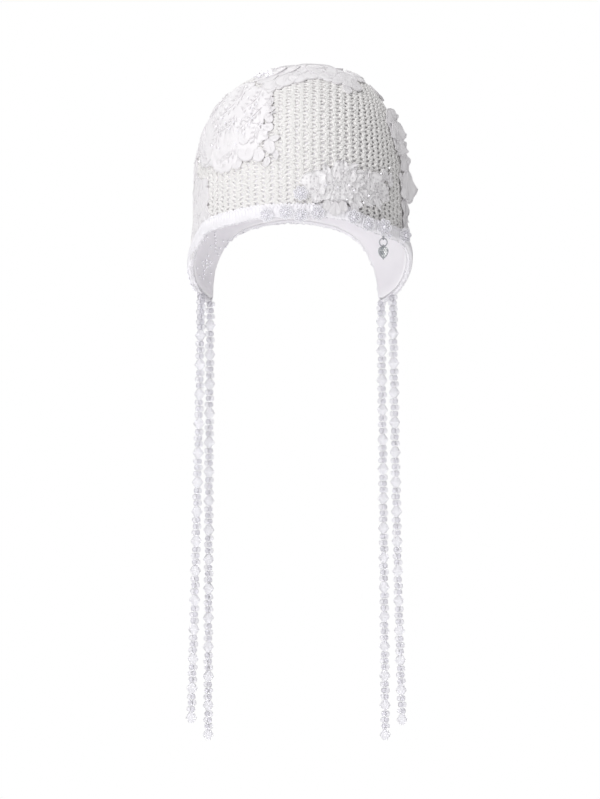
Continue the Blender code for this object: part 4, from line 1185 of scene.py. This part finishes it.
def rosette(number, made):
    """A flower of pearls: one in the middle, seven round it and seven small ones in the notches.

    Four more hang under the one that carries the charm.
    """
    centre, axes, size = rosette_face(number)
    turn = once_round(7, 0.15 * number)
    around, notch = spokes(turn, *axes[:2]), spokes(turn + np.pi / 7, *axes[:2])
    for bead, ways, out, lift, radius in (
            (ROUND_BEAD, 0.0 * axes[:1], 0.0, 0.0018, 0.0016),
            (ROUND_BEAD, around, 0.0044, 0.0011, 0.0009),
            (SEED_BEAD, notch, 0.0025, 0.0016, 0.0009)):
        made.add(*copies(bead, centre + out * size * ways + lift * axes[2], radius * size, axes))
    if number == CHARM_ROSETTE:
        under = np.array([(0.0026, -0.0070), (0.0048, -0.0055), (0.0046, -0.0083), (0.0064, -0.0071)])
        made.add(*copies(ROUND_BEAD, centre + under @ axes[:2] + 0.0010 * axes[2], 0.0012, axes))


def rosette_loops(number, made):
    """The worked part of a rosette: seven loops of cord round a small domed disc."""
    centre, axes, size = rosette_face(number)
    loop_out, loop_lift, loop_radius, loop_tilt, cord, disc = 0.0043, 0.0010, 0.0017, 0.22, 0.00058, 0.0050
    for spoke in spokes(once_round(7, 0.15 * number), *axes[:2]):
        at = centre + loop_out * size * spoke + loop_lift * axes[2]
        made.add(*wire_ring(at, unit(spoke + loop_tilt * axes[2]), np.cross(axes[2], spoke),
                            loop_radius * size, cord * size, 14, 6))
    around = spokes(once_round(20), *axes[:2])
    rings = [centre + part * disc * size * around + lift * axes[2]
             for part, lift in ((1.0, -0.0004), (1.0, 0.0006), (0.6, 0.0011), (0.25, 0.0013))]
    made.add(*skin(rings, [centre, centre + 0.0013 * axes[2]], True))


# How far under the tip a tie's small beads start, and how far they are off its thread in their radius
THREAD_START = 0.0008
THREAD_SPREAD = 0.84


def strand(row, beads):
    """One tie's beads round its thread, which is a parabola sideways from the flap's tip down.

    A large bead sits every pitch. Between two of them, layers of three small beads surround the
    thread, each layer turned by 60 degrees from the one above.
    """
    tip, out = wall(row["angle"], hem_height(row["angle"]))
    tip = tip - STRAND_INSIDE * out
    length = BEAD_PITCH * (row["start"] + (row["beads"] - 1) * row["pitch"])
    bend = 2.0 * row["end"] - 4.0 * row["mid"]

    def at(depth):
        t = np.clip(depth / length, 0.0, 1.0)
        x = BEAD_PITCH * (bend * t * t + (row["end"] - bend) * t)
        return tip + np.stack([x, 0.0 * x, -depth], axis=-1)

    centres = BEAD_PITCH * (row["start"] + np.arange(row["beads"]) * row["pitch"])
    size = np.diag([0.5 * beads.large_width, 0.5 * beads.large_width, beads.large_height])
    made = Pieces().add(*copies(CUT_BEAD, at(centres), 1.0, size))
    half = 0.5 * beads.large_height
    starts = [THREAD_START] + [centre + half for centre in centres[:-1]]
    for number, (high, low) in enumerate(zip(starts, centres - half)):
        layers = max(1, round((low - high) / beads.layer_pitch))
        depth = high + (np.arange(layers) + 0.5) * (low - high) / layers
        turn = (np.arange(layers) + number)[:, None] * np.pi / 3 + once_round(3)
        ring = np.stack([np.cos(turn), np.sin(turn), 0.0 * turn], axis=-1)
        made.add(*copies(TALL_BEAD, at(depth)[:, None] + THREAD_SPREAD * beads.small_radius * ring,
                         beads.small_radius))
    return made


def tie_knot(node):
    """The thread's knot under the hem, which fills the place of its tab.

    Three turns of cord lie round it, each leaning another way, and a smaller one across them.
    """
    low, high = [np.array(corner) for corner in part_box(node)]
    centre, size = 0.5 * (low + high), high - low
    made = Pieces()
    for turn, (rise, lean, share) in enumerate(((0.28, 0.25, 0.44), (0.0, -0.3, 0.5), (-0.27, 0.2, 0.42))):
        across = unit(np.array([math.cos(2.1 * turn), math.sin(2.1 * turn), lean]))
        along = unit(np.cross((0.0, 0.0, 1.0), across))
        at = centre + np.array([0.0, 0.0, rise * size[2]])
        made.add(*wire_ring(at, across, along, share * size[0] - 0.0012, KNOT_CORD, 18, 7))
    across = np.array([math.cos(0.9), math.sin(0.9), 0.0])
    return made.add(*wire_ring(centre, across, np.array([0.0, 0.0, 1.0]), 0.30 * size[2], KNOT_CORD, 16, 7))


def heart_outline():
    """A circle whose height gains half of the root of its width: a heart with its notch up."""
    t = once_round(64)
    return np.stack([0.5 * np.sin(t), 0.5 * (np.cos(t) + 0.5 * np.sqrt(np.abs(np.sin(t))))], axis=1)


def charm_places():
    """Centres of eyelet, ring, bail and heart, each under the one before, and the charm's own axes."""
    centre, axes = rosette_frame(CHARM_ROSETTE)
    middle = centre + 0.5 * ROSETTE_RIM * axes[2]
    yaw = math.radians(CHARM_YAW)
    face = np.array([math.sin(yaw), -math.cos(yaw), 0.0])
    across, down = np.array([math.cos(yaw), math.sin(yaw), 0.0]), np.array([0.0, 0.0, -1.0])
    eyelet = middle + down * (ROSETTE_RADIUS + SEAT_GAP + EYELET_RADIUS + EYELET_WIRE)
    ring = eyelet + down * (EYELET_RADIUS - EYELET_WIRE - LINK_GAP - RING_WIRE + RING_RADIUS)
    bail = ring + down * (RING_RADIUS - RING_WIRE - LINK_GAP - BAIL_WIRE + BAIL_RADIUS)
    heart = bail + down * (BAIL_RADIUS + 0.5 * HEART_HEIGHT)
    return eyelet, ring, bail, heart, (across, face, down)


def heart_surface(centre, axes):
    """The heart: rings of its outline, each a share of it, at a depth as a share of its thickness.

    They go from a dished field for the stones over a raised bezel and the sharp edge to the back.
    """
    across, face, down = axes
    outline = heart_outline()
    rings = []
    for share, depth in ((0.55, 0.36), (0.90, 0.34), (0.91, 0.40), (0.95, 0.38), (1.0, 0.12), (1.0, -0.2),
                         (0.90, -0.50), (0.50, -0.50)):
        x = HEART_WIDTH * share * outline[:, 0]
        z = HEART_HEIGHT * (share * (outline[:, 1] - HEART_MIDDLE) + HEART_MIDDLE)
        rings.append(centre + x[:, None] * across - z[:, None] * down + HEART_THICK * depth * face)
    return Pieces().add(*skin(rings, [ring.mean(axis=0) for ring in (rings[0], rings[-1])]))


def heart_stones(centre, axes):
    """Rows of small cut stones set in the heart's field, each facet painted a random tone as a painted
    reflection.
    """
    across, face, down = axes
    across_pitch, up_pitch, radius, margin = 0.00178, 0.00152, 0.00092, 0.84
    outline = heart_outline() - (0.0, HEART_MIDDLE)
    edge = np.hypot(outline[:, 0], outline[:, 1])
    turns = np.unwrap(np.arctan2(outline[:, 0], outline[:, 1]))
    spots = []
    for row in range(-4, 5):
        for column in range(-3, 4):
            x, z = across_pitch * (column + 0.5 * (row % 2)), up_pitch * row
            wide, high = x / HEART_WIDTH, z / HEART_HEIGHT - HEART_MIDDLE
            way = math.atan2(wide, high) % (2.0 * np.pi)
            if np.hypot(wide, high) < margin * np.interp(way, turns, edge):
                spots.append(centre + x * across - z * down + (0.40 * HEART_THICK) * face)
    stone = turned_shape([(1.0, -0.3), (1.0, 0.05), (0.45, 0.5)], 6, 0.0)
    points, quads, tris = copies(stone, spots, radius, np.stack([across, -down, face]))
    # Painted reflections: a random tone for each stone, varied a little on each facet, kept in the UV map
    shade = np.random.default_rng(11).random(len(spots))[:, None] ** 1.1 * np.ones(len(stone[2]))
    shade = np.clip(shade + 0.35 * (np.random.default_rng(6).random(shade.shape) - 0.5), 0.0, 1.0).ravel()
    return Pieces().add(points, quads, tris, None, np.broadcast_to(shade[:, None, None], (len(tris), 3, 2)))


def new_stage(settings):
    """A white round floor far below, a white room and soft lamps from the front left, above and behind."""
    turn, reach = once_round(64), 3.0
    rim = np.stack([reach * np.cos(turn), reach * np.sin(turn), 0.0 * turn + settings.floor_height], axis=1)
    floor = bpy.data.meshes.new("floor")
    floor.from_pydata(rim.tolist(), [], [list(range(len(rim)))])
    # White acrylic lit from below, so that glass and lining get light from under them
    acrylic, _, _ = new_material("white_acrylic", Base_Color=linear("#f4f4f4"), Roughness=0.9,
                                 Emission_Color=WHITE, Emission_Strength=0.41)
    floor.materials.append(acrylic)
    made = new_object("floor", floor)

    scene = bpy.context.scene
    scene.world = bpy.data.worlds.new("white_room")
    scene.world.use_nodes = True
    tree = scene.world.node_tree
    seen = tree.nodes["Background"]
    seen.inputs["Color"].default_value = WHITE
    seen.inputs["Strength"].default_value = 1.0
    lit = add_node(tree, "ShaderNodeBackground", Color=WHITE, Strength=settings.world_light)
    rays = add_node(tree, "ShaderNodeLightPath")
    mix = add_node(tree, "ShaderNodeMixShader", Fac=rays.outputs["Is Diffuse Ray"],
                   i1=seen.outputs[0], i2=lit.outputs[0])
    tree.links.new(mix.outputs[0], tree.nodes["World Output"].inputs["Surface"])
    scene.view_settings.view_transform = "Standard"

    # Each lamp's place, size and share of the key light. They aim a little under the forehead's hem
    aim_depth = 0.05
    for name, place, size, share in (("key", (-1.70, -2.51, 0.22), 1.9, 1.0),
                                     ("top", (-0.5, -0.9, 2.3), 1.6, 1.16),
                                     ("back", (-0.3, 2.5, 1.4), 1.6, 0.35)):
        light = bpy.data.lights.new(name, "AREA")
        light.size, light.energy = size, share * settings.key_power
        lamp = new_object(name, light)
        lamp.location = place
        lamp.rotation_euler = (math.atan2(math.hypot(place[0], place[1]), place[2] + aim_depth), 0.0,
                               math.atan2(place[1], place[0]) + 0.5 * math.pi)
        lamp.visible_transmission = name != "back"
        lamp.visible_camera = False

    lens = bpy.data.cameras.new("camera")
    lens.sensor_width = 36.0
    lens.lens = lens.sensor_width * VIEW_DISTANCE / (IMAGE_SIZE[1] * METRES_PER_PIXEL)
    lens.clip_start, lens.clip_end = 0.1, 100.0
    scene.camera = new_object("camera", lens)
    turn = math.radians(VIEW_AZIMUTH)
    scene.camera.location = (VIEW_DISTANCE * math.sin(turn), -VIEW_DISTANCE * math.cos(turn), VIEW_HEIGHT)
    scene.camera.rotation_euler = (0.5 * math.pi, 0.0, turn)


# Operators

class BONNET_OT_crochet(bpy.types.Operator):
    """Crochets the crown and its flaps in four quarters."""

    bl_idname = "bonnet.crochet"
    bl_label = "Crochet the crown"

    def execute(self, context):
        yarn = context.scene.bonnet_yarn
        # Mercerised cotton, plied and crocheted: strands 2 to 3 mm thick with a twist every 3 mm
        cotton = yarn_material("mercerised_cotton_yarn", yarn.colour_low, yarn.colour_high, 3.0, 3, 0.5)
        for back, side, name, nodes in ((0, -1, "front_left", ["crochet_crown"]), (0, 1, "front_right", []),
                                        (1, -1, "back_left", []), (1, 1, "back_right", [])):
            crochet_part(yarn, back, side).finish("crochet_" + name, cotton, "yarn", nodes)
        return {"FINISHED"}


class BONNET_OT_lining(bpy.types.Operator):
    """Lays the jersey lining inside the crochet."""

    bl_idname = "bonnet.lining"
    bl_label = "Line the crown"

    def execute(self, context):
        trim = context.scene.bonnet_trim
        # Viscose jersey, knitted fine: smooth, a little cool, with wales under a millimetre apart
        jersey = cloth_material("viscose_jersey", trim.jersey_low, trim.jersey_high, 0.7, 0.8, 0.15)
        lining_skin().finish("jersey_lining", jersey, "jersey", ["lining"])
        return {"FINISHED"}


class BONNET_OT_hem(bpy.types.Operator):
    """Sews the stitched band round the hem and its tabs."""

    bl_idname = "bonnet.hem"
    bl_label = "Sew the hem band"

    def execute(self, context):
        trim = context.scene.bonnet_trim
        # Polyester lace yarn, worked tight: cooler and smoother than the crochet
        worked = cloth_material("polyester_lace", trim.hem_low, trim.hem_high, 0.6, 0.6, 0.25)
        hem_picots(trim).finish("hem_picots", worked, "lace")
        hem_band(trim).finish("stitched_hem_band", worked, "lace", ["hem_band"])
        for node in [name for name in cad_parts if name.startswith("tab_")]:
            tie_knot(node).finish(node.replace("tab", "knot"), worked, "lace", [node])
        return {"FINISHED"}


class BONNET_OT_lace(bpy.types.Operator):
    """Sews the lace: its two patches of net, the petals and the seed beads."""

    bl_idname = "bonnet.lace"
    bl_label = "Sew the lace"

    def execute(self, context):
        trim, beads = context.scene.bonnet_trim, context.scene.bonnet_beads
        # Embroidered polyester lace: satin-stitched petals with a corded edge, close to white
        corded = lace_material("corded_lace", trim.lace_low, trim.lace_high)
        net = cloth_material("lace_net", trim.lace_low, trim.lace_high, 0.55, 0.9, 0.3)
        for node, row in LACE_GROUNDS.items():
            lace_ground(row, trim.cord_radius).finish(node + "_net", net, "lace")
        made = Pieces()
        for row in SPRIGS:
            sprig(*row, made)
        made.finish("lace_sprigs", corded, "lace")
        # The same lace worked open: its eyelets are painted dots of shade, for the shade between the
        # stitches behind them
        openwork = lace_material("openwork_lace", trim.open_low, trim.open_high, 3.3, trim.eyelet)
        side_nodes = ["petal_side_%d" % (number + 1) for number in range(5)]
        # Tables seen from the front, those by angle, cord, depth of the rim, frill, lift of the root, nodes
        for name, seen, hidden, cord, rim, frill, seat, nodes in (
                ("top", LACE_TOP, LACE_CROWN, 0.55, 0.0016, 0.4, 0.0006, ["lace_top"]),
                ("left", LACE_LEFT, LACE_REAR_LEFT, 0.55, 0.0012, 0.8, 0.0005, ["lace_left"]),
                ("front", LACE_FRONT, (), 0.75, 0.0008, 2.4, 0.0006, ["lace_front"]),
                ("hem", LACE_HEM, (), 0.55, 0.0008, 1.2, 0.0022, []),
                ("flap", LACE_FLAP, (), 0.55, 0.0014, 1.0, 0.0006, []),
                ("side", (), LACE_SIDE, 0.75, 0.0007, 3.0, 0.0006, side_nodes)):
            made = Pieces()
            for number, place in enumerate(petal_places(seen) + petal_places(hidden, False)):
                petal(place, number, cord * trim.cord_radius, made, seat, rim, frill)
            material = openwork if name == "front" else corded
            made.finish("lace_%s_petals" % name, material, "lace", nodes)
        # Seed beads of glass with a silvered bore, which throw back light from any side
        lined_glass = toned_material("silver_lined_seeds", 400.0, beads.crystal_low, beads.crystal_high,
                                     Roughness=0.22, Metallic=0.85)[0]
        made = Pieces()
        seeds_on(LACE_SEEDS, 0.0026, 0.0010, made)
        seeds_on(LACE_CLUSTER, 0.0020, 0.0018, made)
        flap_beads(made)
        made.finish("lace_seed_beads", lined_glass, "crystal", smooth=False)
        return {"FINISHED"}


class BONNET_OT_beads(bpy.types.Operator):
    """Threads the ties and sews the rosettes."""

    bl_idname = "bonnet.beads"
    bl_label = "Thread the beads"

    def execute(self, context):
        trim, beads = context.scene.bonnet_trim, context.scene.bonnet_beads
        # The same lace cord as the patches, worked round in the hand
        cord = cloth_material("rosette_cord", trim.rosette_low, trim.rosette_high, 0.55, 0.5, 0.3)
        # Glass pearls: a pale opaque core under a thin lavender lustre, which keeps their shadows light
        pearl = toned_material("glass_pearl", 350.0, beads.pearl_low, beads.pearl_high, Roughness=0.24,
                               Subsurface_Weight=0.5, **SCATTER)[0]
        loops, pearls = Pieces(), Pieces()
        for number in range(len(ROSETTES)):
            rosette_loops(number, loops)
            rosette(number, pearls)
        loops.finish("rosette_loops", cord, "lace")
        nodes = ["rosette_%d" % (number + 1) for number in range(len(ROSETTES))]
        pearls.finish("beaded_rosettes", pearl, "crystal", nodes)
        # Machine-cut lead-free crystal: clear glass with a faint lavender coating, so its sharp facets
        # turn pale and dark
        crystal = toned_material("cut_crystal", 300.0, beads.crystal_low, beads.crystal_high,
                                 Roughness=0.29, IOR=1.29, Transmission_Weight=0.74)[0]
        for row in STRANDS:
            name = row["side"]
            strand(row, beads).finish("beads_" + name, crystal, "crystal", ["strand_" + name], smooth=False)
        return {"FINISHED"}


class BONNET_OT_charm(bpy.types.Operator):
    """Hangs the heart under its rosette."""

    bl_idname = "bonnet.charm"
    bl_label = "Hang the charm"

    def execute(self, context):
        beads = context.scene.bonnet_beads
        # Sterling silver, cast and oxidised: a grey tone and a brighter one, mixed by a fine noise
        silver = toned_material("oxidised_silver", 500.0, beads.silver_low, beads.silver_high,
                                Roughness=0.28, Metallic=1.0)[0]
        eyelet, ring, bail, heart, axes = charm_places()
        across, face, down = axes
        made = Pieces().add(*wire_ring(eyelet, face, down, EYELET_RADIUS, EYELET_WIRE, 32, 8))
        made.finish("silver_eyelet", silver, "silver", ["charm_eyelet"])
        made = Pieces().add(*wire_ring(ring, across, down, RING_RADIUS, RING_WIRE))
        made.finish("silver_jump_ring", silver, "silver", ["jump_ring"])
        made = heart_surface(heart, axes)
        made.add(*wire_ring(bail, face, down, BAIL_RADIUS, BAIL_WIRE, 28, 8))
        made.finish("silver_heart", silver, "silver", ["heart_charm"], smooth=False)
        # Marcasite, cut and polished: each facet is painted a random tone from dark to bright, a painted
        # reflection of lamp and room
        marcasite = facet_reflection_material("marcasite_painted_reflections", beads.stone_reflection_dark, beads.stone_reflection_bright)
        heart_stones(heart, axes).finish("heart_stones", marcasite, "silver", smooth=False)
        return {"FINISHED"}


class BONNET_OT_stage(bpy.types.Operator):
    """Sets the floor, the lights and the camera."""

    bl_idname = "bonnet.stage"
    bl_label = "Set the stage"

    def execute(self, context):
        new_stage(context.scene.bonnet_stage)
        return {"FINISHED"}


class BONNET_PT_panel(bpy.types.Panel):
    """Lists the bonnet's settings and steps."""

    bl_idname = "BONNET_PT_panel"
    bl_label = "Bonnet"
    bl_space_type = "VIEW_3D"
    bl_region_type = "UI"
    bl_category = "Bonnet"

    def draw(self, context):
        for group in GROUPS:
            box = self.layout.box()
            for name in GROUPS[group].__annotations__:
                box.prop(getattr(context.scene, group), name)
        for operator in OPERATORS:
            self.layout.operator(operator.bl_idname)


GROUPS = {
    "bonnet_yarn": YarnSettings,
    "bonnet_trim": TrimSettings,
    "bonnet_beads": BeadSettings,
    "bonnet_stage": StageSettings,
}
OPERATORS = (BONNET_OT_crochet, BONNET_OT_lining, BONNET_OT_hem, BONNET_OT_lace, BONNET_OT_beads,
             BONNET_OT_charm, BONNET_OT_stage)


def register():
    for group in GROUPS.values():
        bpy.utils.register_class(group)
    for name, group in GROUPS.items():
        setattr(bpy.types.Scene, name, bpy.props.PointerProperty(type=group))
    for operator in OPERATORS:
        bpy.utils.register_class(operator)
    bpy.utils.register_class(BONNET_PT_panel)


def unregister():
    bpy.utils.unregister_class(BONNET_PT_panel)
    for operator in reversed(OPERATORS):
        bpy.utils.unregister_class(operator)
    for name, group in GROUPS.items():
        delattr(bpy.types.Scene, name)
        bpy.utils.unregister_class(group)


def main():
    """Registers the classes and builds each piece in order."""
    register()
    bpy.ops.bonnet.crochet()
    bpy.ops.bonnet.lining()
    bpy.ops.bonnet.hem()
    bpy.ops.bonnet.lace()
    bpy.ops.bonnet.beads()
    bpy.ops.bonnet.charm()
    bpy.ops.bonnet.stage()


if __name__ == "__main__":
    main()
